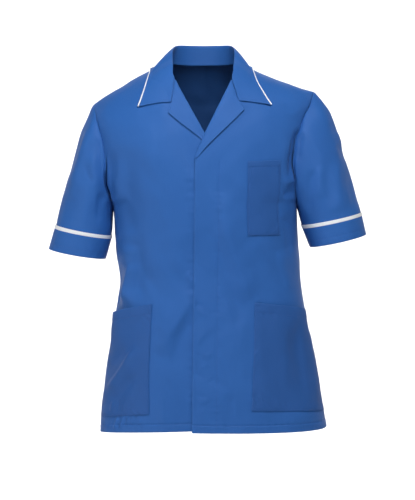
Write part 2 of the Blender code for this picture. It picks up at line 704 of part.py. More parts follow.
def collar_guides(left):
    """Neck seam, fold and outer edge of half the collar."""
    column = 1 if left else 0
    gorge = np.array(GORGE_LEFT if left else GORGE_RIGHT)
    edge_x = COLLAR_EDGE[:, 2 if left else 0]
    edge_z = COLLAR_EDGE[:, 3 if left else 1]
    theta, q = chart(edge_x, edge_z, COLLAR_EDGE[:, 4] > 0.5)
    outer = surface(theta, q, LAY + WALL)
    theta, q = chart_top(NECK[:, column], NECK[:, 2])
    edge = body(theta, q)
    seam = surface(theta, q, -WALL)
    seam[:, 2] = edge[:, 2] - STAND_DROP
    inward = -seam * np.array((1.0, 1.0, 0.0))
    inward = inward / np.linalg.norm(inward, axis=1, keepdims=True)
    seam = seam + inward * (WALL + SEAM + STAND_CLEAR)
    seam[-1] = surface(theta, q, LAY + WALL + END_RISE)[-1]
    fold = np.stack((COLLAR_FOLD[:, column], COLLAR_FOLD[:, 2], COLLAR_FOLD[:, 3]), axis=1)
    fold = np.concatenate((fold, seam[-1:]))
    line = gorge[1] + (gorge[0] - gorge[1]) * np.array((0.0, 0.5, 1.0))[:, None]
    push = (gorge[0] - gorge[1]) / np.linalg.norm(gorge[0] - gorge[1])
    push = np.array((-push[1], push[0])) * COLLAR_GORGE
    if push[0] * (1 if left else -1) < 0:
        push = -push
    theta, q = chart(line[:, 0] + push[0], line[:, 1] + push[1])
    ends = surface(theta, q, LAY + WALL)
    return np.concatenate((seam, ends)), np.concatenate((fold, ends)), outer


def collar_half(left, columns, rows, trees):
    """Outer points of half the collar from the middle of the back to the front end."""
    seam, fold, outer = collar_guides(left)
    knots = np.linspace(0, 1, len(seam))
    at = np.linspace(0, 1, columns + 1)

    def along(points):
        bend = np.gradient(points, knots, axis=0)
        bend[0, 1:] = 0.0
        i = np.clip(np.searchsorted(knots, at) - 1, 0, len(knots) - 2)
        step = (knots[i + 1] - knots[i])[:, None]
        t = ((at - knots[i]) / (knots[i + 1] - knots[i]))[:, None]
        return ((1 + 2 * t) * (1 - t) ** 2 * points[i] + t * (1 - t) ** 2 * step * bend[i]
                + t * t * (3 - 2 * t) * points[i + 1] + t * t * (t - 1) * step * bend[i + 1])

    low = along(seam)
    top = along(fold)
    end = along(outer)
    centre = Vector(NECK_CENTRE)
    grid = np.zeros((columns + 1, rows + 1, 3))
    fine = np.linspace(0, 1, 41)
    for i in range(columns + 1):
        stand = np.linalg.norm(top[i] - low[i])
        out = end[i] - top[i]
        fall = np.linalg.norm(out)
        flat_out = out * np.array((1, 1, 0.15))
        flat_out = flat_out / np.linalg.norm(flat_out)
        turn = min(FOLD_TURN, stand * 0.45)
        rise = (top[i] - low[i]) * 0.55
        first = bezier(low[i], low[i] + rise, top[i] - flat_out * turn, top[i], fine)
        settle = np.array((out[0], out[1], min(out[2] * 1.6, -0.2 * fall)))
        settle = settle / np.linalg.norm(settle)
        leave = top[i] + flat_out * (turn + 0.10 * fall)
        second = bezier(top[i], leave, end[i] - settle * fall * 0.35, end[i], fine)
        line = np.concatenate((first[:-1], second)) if stand > LEAST_STAND else second
        run = np.concatenate(((0.0,), np.cumsum(np.linalg.norm(np.diff(line, axis=0), axis=1))))
        at_fold = run[len(fine) - 1] if stand > LEAST_STAND else 0.0
        weight = 1.0 + 2.5 * np.exp(-((run - at_fold) / 0.007) ** 2)
        gather = np.concatenate(((0.0,), np.cumsum((weight[1:] + weight[:-1]) / 2 * np.diff(run))))
        spots = np.linspace(0, gather[-1], rows + 1)
        points = np.stack([np.interp(spots, gather, line[:, k]) for k in range(3)], axis=1)
        reached = np.interp(spots, gather, run)
        for j in range(rows + 1):
            if reached[j] >= at_fold or stand <= LEAST_STAND:
                points[j] = push_out(points[j], trees, centre, LAY + WALL + COLLAR_CLEAR)
        grid[i] = points
    return grid


def collar_grid(columns, rows, trees):
    """Outer points of the whole collar, right end to left end."""
    right = collar_half(False, columns, rows, trees)
    left = collar_half(True, columns, rows, trees)
    middle = (right[:1] + left[:1]) / 2
    return np.concatenate((right[:0:-1], middle, left[1:]))


def pocket_grid(corners, rows, columns, tree):
    """Outer points of a patch pocket, mouth first, clear of its panel."""
    near, far, far_low, near_low, gape = corners
    down = np.linspace(0, 1, rows + 1)[:, None]
    across = np.linspace(0, 1, columns + 1)[None, :]
    theta, q = chart(np.array((near[0], far[0], far_low[0], near_low[0])),
                     np.array((near[1], far[1], far_low[1], near_low[1])))
    top_t = theta[0] + (theta[1] - theta[0]) * across
    low_t = theta[3] + (theta[2] - theta[3]) * across
    top_q = q[0] + (q[1] - q[0]) * across
    low_q = q[3] + (q[2] - q[3]) * across
    lift = LAY + WALL + gape * (1 - ease(down * 2.2)) * ease(across * 1.2) * ease((1 - across) * 8 + 0.25)
    grid = surface(top_t + (low_t - top_t) * down, top_q + (low_q - top_q) * down, lift)
    centre = Vector((0.0, 0.0, float(grid[..., 2].mean())))
    need = LAY + WALL + POCKET_CLEAR
    return np.array([[push_out(p, [tree], centre, need) for p in row] for row in grid])


def face_normals(grid, ring_round):
    """Unit normals of a grid of points."""
    down = np.gradient(grid, axis=0)
    if ring_round:
        across = np.roll(grid, -1, axis=1) - np.roll(grid, 1, axis=1)
    else:
        across = np.gradient(grid, axis=1)
    normal = np.cross(across, down)
    return normal / np.maximum(np.linalg.norm(normal, axis=-1, keepdims=True), 1e-12)


def wall_depth(grid, normal):
    """Wall thickness of each point, less where a fold is tighter than the wall."""
    turn = np.linalg.norm(np.gradient(normal, axis=1), axis=-1)
    step = np.linalg.norm(np.gradient(grid, axis=1), axis=-1)
    return np.minimum(WALL, FOLD_SHARE * step / np.maximum(turn, 1e-6))


def add_object(name, points, faces, colour, group):
    """Mesh object with a material of its own."""
    mesh = bpy.data.meshes.new(name)
    mesh.from_pydata([tuple(p) for p in points], [], faces)
    mesh.validate()
    work = bmesh.new()
    work.from_mesh(mesh)
    bmesh.ops.recalc_face_normals(work, faces=work.faces)
    for face in work.faces:
        face.smooth = True
    work.to_mesh(mesh)
    work.free()
    item = bpy.data.objects.new(name, mesh)
    material = bpy.data.materials.new(name + "_cloth")
    material.use_nodes = True
    shader = material.node_tree.nodes["Principled BSDF"]
    shader.inputs["Base Color"].default_value = colour
    shader.inputs["Roughness"].default_value = 0.85
    mesh.materials.append(material)
    group.objects.link(item)
    return item


def shell(name, grid, colour, group, turned=False, ring_round=False, inner=None):
    """Close a grid of outer points, and an inner one if given, into a wall of cloth."""
    nr, nc = grid.shape[:2]
    if inner is None:
        normal = face_normals(grid, ring_round)
        wall = wall_depth(grid, normal)
        inner = grid + normal * wall[..., None] * (1 if turned else -1)
    points = np.concatenate((grid.reshape(-1, 3), inner.reshape(-1, 3)))
    half = nr * nc
    faces = []
    spans = nc if ring_round else nc - 1
    for i in range(nr - 1):
        for j in range(spans):
            k = (j + 1) % nc
            a, b, c, d = i * nc + j, i * nc + k, (i + 1) * nc + k, (i + 1) * nc + j
            faces.append((a, b, c, d))
            faces.append((half + d, half + c, half + b, half + a))
    for j in range(spans):
        k = (j + 1) % nc
        faces.append((k, j, half + j, half + k))
        a, b = (nr - 1) * nc + j, (nr - 1) * nc + k
        faces.append((a, b, half + b, half + a))
    if not ring_round:
        for i in range(nr - 1):
            a, b = i * nc, (i + 1) * nc
            faces.append((a, b, half + b, half + a))
            a, b = i * nc + nc - 1, (i + 1) * nc + nc - 1
            faces.append((b, a, half + a, half + b))
    return add_object(name, points, faces, colour, group)


def piping(name, edge, before, colour, group, trees, sides=6):
    """Rounded strip along the outer edge of the collar."""
    along = np.gradient(edge, axis=0)
    along = along / np.linalg.norm(along, axis=1, keepdims=True)
    out = edge - before
    out = out - along * np.sum(out * along, axis=1, keepdims=True)
    out = out / np.linalg.norm(out, axis=1, keepdims=True)
    normal = np.cross(along, out)
    centre = Vector(NECK_CENTRE)
    middle = edge + out * (PIPING_WIDE + PIPING_GAP)
    flip = 1.0 if np.dot(normal[0], np.array((0.0, -1.0, 0.0))) > 0 else -1.0
    middle = middle - normal * flip * WALL / 2
    middle = np.array([push_out(p, trees, centre, PIPING_THICK + PIPING_CLEAR) for p in middle])
    points = []
    for i in range(len(edge)):
        for k in range(sides):
            angle = 2 * math.pi * k / sides
            across = out[i] * PIPING_WIDE * math.cos(angle)
            points.append(middle[i] + across + normal[i] * PIPING_THICK * math.sin(angle))
    faces = []
    for i in range(len(edge) - 1):
        for k in range(sides):
            n = (k + 1) % sides
            faces.append((i * sides + k, i * sides + n, (i + 1) * sides + n, (i + 1) * sides + k))
    faces.append(tuple(range(sides))[::-1])
    last = (len(edge) - 1) * sides
    faces.append(tuple(last + k for k in range(sides)))
    return add_object(name, points, faces, colour, group)


def build():
    """Make every piece of the tunic."""
    for item in list(bpy.data.objects):
        bpy.data.objects.remove(item, do_unlink=True)
    group = bpy.data.collections.new("medical_tunic")
    bpy.context.scene.collection.children.link(group)
    rows = front_rows(ROW_COUNTS)
    back = back_grid(rows, PANEL_COLUMNS)
    right = front_grid(False, rows, PANEL_COLUMNS)
    left = front_grid(True, rows, PANEL_COLUMNS)
    shell("back", back, BLUE, group, inner=back_grid(rows, PANEL_COLUMNS, WALL))
    shell("front_right", right, BLUE, group, inner=front_grid(False, rows, PANEL_COLUMNS, WALL))
    shell("front_left", left, BLUE, group, inner=front_grid(True, rows, PANEL_COLUMNS, WALL))
    trees = [grid_tree(back), grid_tree(right), grid_tree(left)]
    for is_left in (False, True):
        side = "left" if is_left else "right"
        flap = lapel_grid(is_left, LAPEL_ROWS, LAPEL_COLUMNS)
        behind = lapel_grid(is_left, LAPEL_ROWS, LAPEL_COLUMNS, WALL)
        shell("lapel_" + side, flap, BLUE, group, inner=behind)
    collar = collar_grid(COLLAR_COLUMNS, COLLAR_ROWS, trees)
    shell("collar", collar, BLUE, group, turned=True)
    piping("collar_piping", collar[:, -1], collar[:, -2], WHITE, group, trees)
    for is_left in (False, True):
        side = "left" if is_left else "right"
        shell("sleeve_" + side, sleeve_grid(is_left, SLEEVE_ROWS, ARM_COUNT), BLUE, group, not is_left, True)
        band = cuff_grid(is_left, CUFF_ROWS, ARM_COUNT)
        lining = cuff_grid(is_left, CUFF_ROWS, ARM_COUNT, WALL)
        shell("cuff_" + side, band, BLUE, group, False, True, lining)
        band = trim_grid(is_left, 1, ARM_COUNT)
        lining = trim_grid(is_left, 1, ARM_COUNT, WALL)
        shell("cuff_trim_" + side, band, WHITE, group, False, True, lining)
    flap = pocket_grid(POCKET_LOWER_RIGHT, POCKET_ROWS, POCKET_COLUMNS, trees[1])
    shell("pocket_lower_right", flap, BLUE, group)
    flap = pocket_grid(POCKET_LOWER_LEFT, POCKET_ROWS, POCKET_COLUMNS, trees[2])
    shell("pocket_lower_left", flap, BLUE, group, turned=True)
    flap = pocket_grid(POCKET_CHEST, CHEST_ROWS, CHEST_COLUMNS, trees[2])
    shell("pocket_chest", flap, BLUE, group, turned=True)


build()
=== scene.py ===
"""Dressed scene of the short-sleeved medical tunic: fine cloth shells, stitching and studio.

Metres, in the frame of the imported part. The form functions are those of the part, read at more points. The
cloth is thinner, and a few outlines are set nearer to the photograph.
"""

import math

import bmesh
import bpy
import numpy as np
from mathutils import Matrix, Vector
from mathutils.bvhtree import BVHTree


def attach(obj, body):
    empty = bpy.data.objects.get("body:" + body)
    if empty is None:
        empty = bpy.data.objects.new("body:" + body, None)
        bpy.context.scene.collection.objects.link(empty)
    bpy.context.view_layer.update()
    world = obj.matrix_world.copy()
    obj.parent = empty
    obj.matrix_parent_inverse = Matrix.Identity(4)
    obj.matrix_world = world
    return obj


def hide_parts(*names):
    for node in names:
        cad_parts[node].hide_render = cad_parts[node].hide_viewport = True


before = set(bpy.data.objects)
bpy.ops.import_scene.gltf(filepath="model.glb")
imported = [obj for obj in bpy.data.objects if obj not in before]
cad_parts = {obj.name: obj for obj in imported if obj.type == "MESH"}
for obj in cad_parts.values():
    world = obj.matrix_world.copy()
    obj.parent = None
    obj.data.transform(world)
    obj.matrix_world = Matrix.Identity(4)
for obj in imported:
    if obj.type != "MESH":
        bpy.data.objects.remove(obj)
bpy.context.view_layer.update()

# Wall of the cloth, gap at a seam and gap under a piece that lies on another.
WALL = 0.0010
SEAM = 0.0004
LAY = 0.0005
# Heights of the hem, the chest line and the top of the straight part of the sides.
HEM_Z = -0.745
CHEST_Z = -0.200
TIP_Z = -0.060
# Rise of the hem at the sides and at the front edges, and bow of the left front's hem.
HEM_SIDE_LEFT = 0.0093
HEM_SIDE_RIGHT = -0.0029
HEM_FRONT_LEFT = 0.0049
HEM_FRONT_RIGHT = 0.0095
HEM_BOW_LEFT = 0.0030
# The height code q: 0 at the chest line, 1 on the shoulder line, and one unit down in this run.
LOW_RUN = 0.280
ARMPIT_Q = -0.304
# Shoulder line behind the origin, and the power that squares the body's section.
RIDGE_Y = 0.012
ROUND = 0.87
# The row code v: hem, armpit, break of the lapel, crossing of the fronts, gorge and shoulder.
ARMPIT_V = 0.60
GORGE_V = 0.92
ROW_MARKS = (0.0, ARMPIT_V, 0.72, 0.78, GORGE_V, 1.0)
# How far the front that lies under drops at its edge, below and beside the neck opening.
UNDERLAP_LOW = 0.0028
UNDERLAP_TOP = 0.0072
UNDERLAP_EDGE = -0.092
UNDERLAP_RUN = 0.066
FRONT_EDGE_LEFT = (-0.0257, -0.0205)
FRONT_EDGE_RIGHT = (0.0220, 0.0220)
# Lapel: hidden leg behind the roll, clearance to the collar and rise just past the roll.
LAPEL_TIP = 0.86
HIDDEN_LEG = 0.008
GORGE_CLEAR = 0.0007
LAPEL_RISE = 0.0016
RISE_RUN = 0.009
# Collar: clearances to the neck, the gorge and the body, and the half width of its fold.
STAND_CLEAR = 0.0009
STAND_DROP = 0.0012
END_RISE = 0.0014
COLLAR_CLEAR = 0.0015
COLLAR_GORGE = 0.0006
FOLD_TURN = 0.0055
LEAST_STAND = 0.0015
# Piping along the collar edge: full half width and half height.
PIPING_WIDE = 0.0019
PIPING_THICK = 0.0011
# Sleeve: clearances to the armhole and inside the cuff, and how far the tape stands out.
SLEEVE_OUT = 0.0003
SLEEVE_UP = 0.0000
CUFF_CLEAR = 0.0012
TAPE_PROUD = 0.0002
# Least clearance of a pocket to its front.
POCKET_CLEAR = 0.0005
# Lift of the free edges of the lapels and collar.
LAPEL_EDGE_LIFT = 0.0022
COLLAR_EDGE_LIFT = 0.0012
# Height of the straight seam of the stand behind the neck.
STAND_LINE = 0.0066
# Heights and half widths that shape the right front below the armhole.
CALM_WIDTH = (
    (-0.336, -0.310, -0.285, -0.260, -0.240, -0.200),
    (0.1845, 0.1880, 0.1940, 0.2020, 0.2085, 0.2180),
)
# Turn of the armholes towards the arm at the shoulder, in degrees.
ARMHOLE_TURN_LEFT = 12.0
ARMHOLE_TURN_RIGHT = 7.0
# A point in the hollow of the body.
BODY_CENTRE = (0.0, 0.0, -0.25)

# Camera: size of a pixel of the photograph at y = 0, its middle pixel, the point there and the distance.
PIXEL = 0.00205
PHOTO_MIDDLE = (207.5, 250)
VIEW_MIDDLE = (0.005, -0.377)
VIEW_DISTANCE = 4.0
MM = 0.001

# Sections of the body: height, half widths to the right and left, depths to the front and back.
BODY = np.array((
    (-0.745, 0.2140, 0.2500, 0.136, 0.132),
    (-0.685, 0.2090, 0.2400, 0.134, 0.132),
    (-0.623, 0.2030, 0.2276, 0.131, 0.130),
    (-0.562, 0.1930, 0.2170, 0.128, 0.124),
    (-0.500, 0.1825, 0.2050, 0.124, 0.114),
    (-0.439, 0.1740, 0.1958, 0.121, 0.104),
    (-0.390, 0.1800, 0.1927, 0.123, 0.106),
    (-0.336, 0.1845, 0.1896, 0.128, 0.114),
    (-0.285, 0.1870, 0.1880, 0.132, 0.120),
    (-0.270, 0.2000, 0.1910, 0.133, 0.121),
    (-0.240, 0.2140, 0.1935, 0.134, 0.122),
    (-0.200, 0.2180, 0.1955, 0.135, 0.122),
    (-0.160, 0.2230, 0.2020, 0.135, 0.122),
    (-0.120, 0.2310, 0.2120, 0.135, 0.122),
    (-0.090, 0.2345, 0.2220, 0.135, 0.122),
    (-0.060, 0.2350, 0.2265, 0.135, 0.122),
))

# Line along the top of the shoulders: distance from the middle, height to the right and left.
RIDGE = np.array((
    (0.000, 0.0380, 0.0380),
    (0.050, 0.0235, 0.0220),
    (0.080, 0.0070, 0.0030),
    (0.110, -0.0072, -0.0120),
    (0.160, -0.0345, -0.0325),
    (0.215, -0.0685, -0.0490),
    (0.250, -0.0950, -0.0590),
))

# Armhole edge: row, angle round the body at the front and at the back in degrees, height code.
ARMHOLE = np.array((
    (0.600, 90.0, 90.0, -0.304),
    (0.622, 82.0, 98.0, -0.290),
    (0.655, 73.5, 107.0, -0.235),
    (0.700, 68.5, 112.0, -0.130),
    (0.760, 66.0, 114.5, 0.030),
    (0.830, 66.0, 114.5, 0.280),
    (0.900, 67.0, 113.5, 0.580),
    (0.950, 68.5, 112.0, 0.800),
    (1.000, 70.0, 110.0, 1.000),
))

# Neck seam from the middle of the back to the gorge: x to the right and left, y.
NECK = np.array((
    (-0.0020, -0.0020, 0.0625),
    (-0.0330, 0.0280, 0.0585),
    (-0.0580, 0.0530, 0.0440),
    (-0.0745, 0.0700, 0.0220),
    (-0.0805, 0.0765, 0.0000),
    (-0.0785, 0.0745, -0.0260),
    (-0.0730, 0.0675, -0.0520),
    (-0.0638, 0.0553, -0.0715),
))

# Gorge seam and roll line seen from the front: x and z from the notch down to the break.
GORGE_RIGHT = ((-0.0672, -0.0816), (-0.0623, -0.0335))
GORGE_LEFT = ((0.0664, -0.0794), (0.0538, -0.0375))
V_POINT = (0.0, -0.1478)
BREAK_LEFT = (-0.0195, -0.1950)
BREAK_RIGHT = (0.0120, -0.1630)

# Outer edge of each lapel from its lower end to the tip: x and z.
LAPEL_EDGE_LEFT = (
    (-0.0150, -0.1930),
    (0.0010, -0.1740),
    (0.0300, -0.1450),
    (0.0560, -0.1200),
    (0.0778, -0.0973),
)
LAPEL_EDGE_RIGHT = (
    (0.0030, -0.1670),
    (-0.0091, -0.1539),
    (-0.0310, -0.1365),
    (-0.0520, -0.1210),
    (-0.0722, -0.1041),
)

# Fold of the collar from the middle of the back to the gorge: x to the right and left, y, z.
COLLAR_FOLD = np.array((
    (-0.0020, -0.0020, 0.0605, 0.0475),
    (-0.0330, 0.0280, 0.0555, 0.0475),
    (-0.0560, 0.0500, 0.0380, 0.0460),
    (-0.0645, 0.0585, 0.0150, 0.0400),
    (-0.0670, 0.0610, -0.0080, 0.0300),
    (-0.0675, 0.0605, -0.0320, 0.0120),
    (-0.0668, 0.0592, -0.0545, -0.0025),
))

# Outer edge of the collar from the middle of the back to the tip: right x, z, left x, z, behind.
COLLAR_EDGE = np.array((
    (-0.0020, -0.0160, -0.0020, -0.0160, 1),
    (-0.0440, -0.0180, 0.0380, -0.0170, 1),
    (-0.0800, -0.0205, 0.0700, -0.0160, 1),
    (-0.1020, -0.0105, 0.0878, -0.0068, 1),
    (-0.1096, -0.0150, 0.0945, -0.0105, 0),
    (-0.1122, -0.0280, 0.0982, -0.0230, 0),
    (-0.1146, -0.0390, 0.1018, -0.0340, 0),
    (-0.1172, -0.0495, 0.1060, -0.0440, 0),
    (-0.1202, -0.0600, 0.1112, -0.0540, 0),
    (-0.1256, -0.0755, 0.1206, -0.0710, 0),
    (-0.1312, -0.0908, 0.1307, -0.0872, 0),
))

# Outer line of each sleeve from the shoulder tip to the tape: x and z.
SLEEVE_LINE_RIGHT = (
    (-0.2380, -0.0980),
    (-0.2520, -0.1310),
    (-0.2660, -0.1800),
    (-0.2810, -0.2300),
    (-0.2950, -0.2790),
)
SLEEVE_LINE_LEFT = (
    (0.2405, -0.0712),
    (0.2565, -0.0940),
    (0.2738, -0.1400),
    (0.2866, -0.1900),
    (0.3052, -0.2420),
)

# Rings at the sleeve end: outer x, z, inner x, z for the tape top, cuff top and cuff hem.
RINGS_RIGHT = (
    (-0.3060, -0.3245, -0.1904, -0.3467),
    (-0.3080, -0.3320, -0.1914, -0.3535),
    (-0.3200, -0.3735, -0.2030, -0.3940),
)
RINGS_LEFT = (
    (0.3203, -0.2991, 0.1963, -0.3255),
    (0.3213, -0.3060, 0.1991, -0.3325),
    (0.3300, -0.3440, 0.2141, -0.3702),
)
RING_DEPTH = 0.0580
RING_Y = -0.004
RING_DIP = 0.0050

# Soft folds on the body: behind, start x, z, end x, z, width, height.
FOLDS = np.array((
    (0, -0.148, -0.380, -0.164, -0.470, 0.018, 0.0055),
    (0, -0.030, -0.470, -0.085, -0.570, 0.022, 0.0040),
    (0, 0.035, -0.285, 0.085, -0.450, 0.022, 0.0045),
    (0, -0.160, -0.190, -0.148, -0.330, 0.020, -0.0040),
    (0, 0.155, -0.560, 0.170, -0.690, 0.030, -0.0035),
    (1, -0.060, -0.360, -0.080, -0.620, 0.026, 0.0045),
    (1, 0.065, -0.350, 0.085, -0.600, 0.026, 0.0045),
    (1, 0.002, -0.400, 0.000, -0.560, 0.028, -0.0035),
    (1, -0.130, -0.330, -0.060, -0.450, 0.022, 0.0030),
    (1, 0.135, -0.320, 0.060, -0.440, 0.022, 0.0030),
))


def on_tunic(table):
    """Creases picked on the photograph as x and z at their depth, widths and height in metres."""
    rows = []
    for *pixels, depth, near, far, height in table:
        size = PIXEL * (VIEW_DISTANCE + depth) / VIEW_DISTANCE
        row = []
        for across, down in zip(pixels[::2], pixels[1::2]):
            row.append(VIEW_MIDDLE[0] + (across - PHOTO_MIDDLE[0]) * size)
            row.append(VIEW_MIDDLE[1] - (down - PHOTO_MIDDLE[1]) * size)
        row += [near * MM, far * MM, height * MM]
        rows.append([round(value, 4) for value in row])
    return rows


# Creases of the fronts, picked in the photograph's frame of 415 x 500 pixels: start, middle and end
# (pixels across and down), depth y in metres, width on each side and height in millimetres.
CREASES_FRONT = on_tunic((
    # crisp ridge and recess at the right side
    (132, 262, 128.8, 282, 122.5, 311, -0.08, 5.5, 13, 6.0),
    (122.5, 262, 119.5, 285, 115, 312, -0.06, 12, 9, -5.0),
    (139, 240, 138, 270, 136, 300, -0.09, 16, 12, -3.6),
    (149, 205, 148, 240, 151, 285, -0.11, 13, 18, 2.0),
    # drag fold of the right front
    (191, 298, 176, 324, 161, 348, -0.12, 15, 10, 3.0),
    (194, 312, 181, 340, 172, 372, -0.12, 12, 16, -2.4),
    (173, 300, 163, 318, 154, 330, -0.12, 10, 12, 1.6),
    # left front
    (222, 205, 233, 258, 251, 300, -0.12, 17, 13, 2.8),
    (213, 228, 222, 262, 236, 292, -0.12, 13, 15, -1.6),
    (226, 288, 236, 308, 241, 330, -0.12, 11, 13, -1.8),
    (222, 292, 232, 335, 236, 378, -0.12, 14, 12, 2.2),
    (240, 320, 242, 352, 246, 392, -0.12, 10, 13, 2.0),
    # beside the chest pocket and towards the left side
    (283, 186, 289, 182, 296, 179, -0.09, 6, 11, 3.6),
    (282, 195, 289, 193, 296, 190, -0.09, 9, 8, -2.6),
    (284, 214, 289, 232, 292, 258, -0.08, 10, 16, -2.6),
    (279, 250, 284, 272, 292, 292, -0.08, 8, 12, 2.8),
    # bump beside the front edge
    (187, 272, 190, 278, 193, 285, -0.13, 6, 5, 2.4),
    # armholes
    (113, 150, 110, 176, 112, 202, -0.06, 8, 13, -4.5),
    (121, 160, 117, 190, 119, 225, -0.09, 10, 13, 2.4),
    (300, 128, 293, 150, 291, 178, -0.07, 7, 12, -5.0),
    (288, 136, 284, 160, 283, 190, -0.09, 12, 10, 2.2),
    # broad panels of the chest
    (146, 118, 151, 142, 149, 170, -0.10, 16, 12, 1.6),
    (176, 228, 180, 252, 176, 275, -0.13, 15, 11, 1.3),
    # pockets: diagonal crease on the right one and the turn of the left one
    (138, 345, 123, 370, 105, 395, -0.10, 6, 14, 5.0),
    (128, 345, 114, 362, 104, 380, -0.10, 10, 11, -3.0),
    (140, 372, 126, 388, 116, 408, -0.10, 12, 10, -2.6),
    (296, 318, 299, 358, 305, 402, -0.08, 15, 10, -5.0),
    (309, 325, 313, 360, 318, 402, -0.05, 8, 12, 3.2),
    (283, 330, 286, 360, 286, 396, -0.10, 14, 11, 2.2),
    (268, 318, 268, 352, 272, 385, -0.11, 12, 15, -1.6),
    # low skirt
    (168, 388, 164, 408, 166, 432, -0.13, 11, 15, 2.4),
    (208, 388, 206, 410, 207, 432, -0.13, 13, 10, 1.2),
    (228, 392, 230, 410, 228, 432, -0.13, 12, 10, -1.8),
    (108, 405, 104, 418, 102, 431, -0.06, 8, 10, 2.0),
    # button stand
    (195, 303, 199, 305.5, 204, 308, -0.13, 3.0, 5.0, -1.3),
    (197, 309, 202, 313, 208, 317, -0.13, 4.5, 3.0, 1.1),
    (198, 345, 202, 338, 208, 331, -0.13, 3.0, 5.0, 0.9),
    (202, 358, 208, 355, 214, 351, -0.13, 5.0, 3.0, 1.5),
    (196, 353, 199, 357, 204, 361, -0.13, 3.0, 4.5, -1.2),
    (198, 370, 204, 367, 209, 363, -0.13, 3.5, 4.5, 1.0),
    (207, 384, 211, 381, 215, 376, -0.13, 4.0, 3.0, -1.4),
    (195, 373, 199, 376, 205, 379, -0.13, 3.0, 4.5, -1.2),
    (196, 395, 201, 396, 207, 399, -0.13, 4.0, 3.0, -1.3),
    (198, 401, 204, 401, 210, 397, -0.13, 4.5, 3.5, 1.2),
    (199, 414, 204, 411, 210, 409, -0.13, 3.0, 4.0, 0.8),
    (200, 262, 205, 266, 211, 272, -0.13, 4.0, 5.0, 0.8),
    (203, 228, 208, 232, 213, 239, -0.13, 4.0, 5.0, -0.7),
    (206, 190, 210, 196, 213, 204, -0.13, 4.0, 5.0, 0.7),
    # base of the right pocket and the hem below it
    (113, 402, 112, 407, 111, 413, -0.10, 2.2, 3.0, 1.4),
    (117, 417, 116, 422, 113.5, 430, -0.10, 2.4, 3.2, 2.4),
    (119, 400, 118.5, 406, 118, 413, -0.10, 2.0, 2.6, -1.0),
    (123.5, 416, 122, 422, 119.5, 430, -0.11, 2.4, 3.0, 2.6),
    (124, 404, 123.5, 408, 123, 413, -0.11, 1.8, 2.8, 0.9),
    (129, 416, 127.5, 420, 125.5, 427, -0.11, 2.4, 3.0, 2.2),
    (134.5, 416, 133, 420, 131.5, 426, -0.11, 2.2, 2.8, 1.7),
    (131, 402, 130, 407, 129.5, 413, -0.11, 1.8, 2.4, -0.8),
    (140, 417, 139, 421, 138, 426, -0.12, 2.4, 3.0, 1.2),
    # base of the left pocket
    (253, 394, 255, 400, 258, 408, -0.12, 2.4, 3.2, -1.3),
    (260, 392, 262, 399, 265, 409, -0.12, 2.6, 3.4, 1.0),
    (268, 398, 270, 403, 272.5, 410, -0.11, 2.2, 3.0, -1.0),
    (276, 396, 277.5, 402, 280, 410, -0.11, 2.4, 3.2, 0.9),
    (286, 400, 287, 405, 289, 411, -0.10, 2.4, 3.0, -0.8),
    # mouth corners of the pockets
    (255, 303, 258, 301, 262, 300.5, -0.12, 2.0, 3.0, 1.1),
    (256, 308, 259, 306, 264, 305.5, -0.12, 2.0, 2.6, -0.9),
    (147, 310, 150, 312, 151.5, 317, -0.12, 2.0, 3.0, 0.9),
    (143, 316, 146, 319, 150, 323, -0.12, 2.4, 3.0, -0.7),
    (275, 163, 277, 168, 278, 175, -0.10, 2.0, 3.0, 0.8),
    (249, 165, 251, 169, 252, 176, -0.11, 2.0, 2.8, -0.6),
    # shoulder end of the left front
    (283, 106, 291, 108, 299, 107, -0.06, 5.0, 7.0, -1.2),
    (281, 112, 290, 115, 298, 114, -0.07, 6.0, 8.0, 1.0),
))
# The same for the sleeves, left and then right.
CREASES_SLEEVE = on_tunic((
    (301, 132, 297, 148, 296, 164, -0.02, 5, 9, -3.5),
    (319, 165, 318.5, 182, 318, 200, -0.02, 7, 11, 3.2),
    (310, 170, 309, 192, 309, 214, -0.02, 10, 8, -3.2),
    (337, 158, 338, 186, 342, 212, -0.02, 13, 10, 2.8),
    (328, 150, 328, 180, 330, 210, -0.02, 12, 14, -1.8),
    (349, 172, 352, 192, 356, 212, -0.01, 9, 12, -2.6),
    (336, 131, 341, 140, 346, 150, -0.01, 8, 6, 2.4),
    (337, 144, 341, 151, 345, 162, -0.01, 7, 10, -2.2),
    (318, 104, 326, 116, 331, 130, -0.02, 10, 12, 1.6),
    (89.5, 127, 80.5, 157, 66, 194, -0.02, 4.5, 14, 3.6),
    (96, 135, 88, 160, 78, 192, -0.02, 9, 12, -3.0),
    (102, 136, 103, 160, 105, 184, -0.03, 11, 9, -3.6),
    (85, 164, 89, 176, 96, 184, -0.03, 5, 9, -1.8),
    (94, 152, 94, 172, 99, 190, -0.03, 10, 8, 2.2),
    (104, 192, 101, 206, 100, 224, -0.03, 8, 12, -3.2),
    (90, 196, 87, 212, 86, 228, -0.03, 12, 10, 1.8),
    (74, 196, 70, 210, 67, 224, -0.02, 10, 13, -1.6),
    (111, 200, 108, 214, 108, 232, -0.03, 7, 9, -2.4),
))
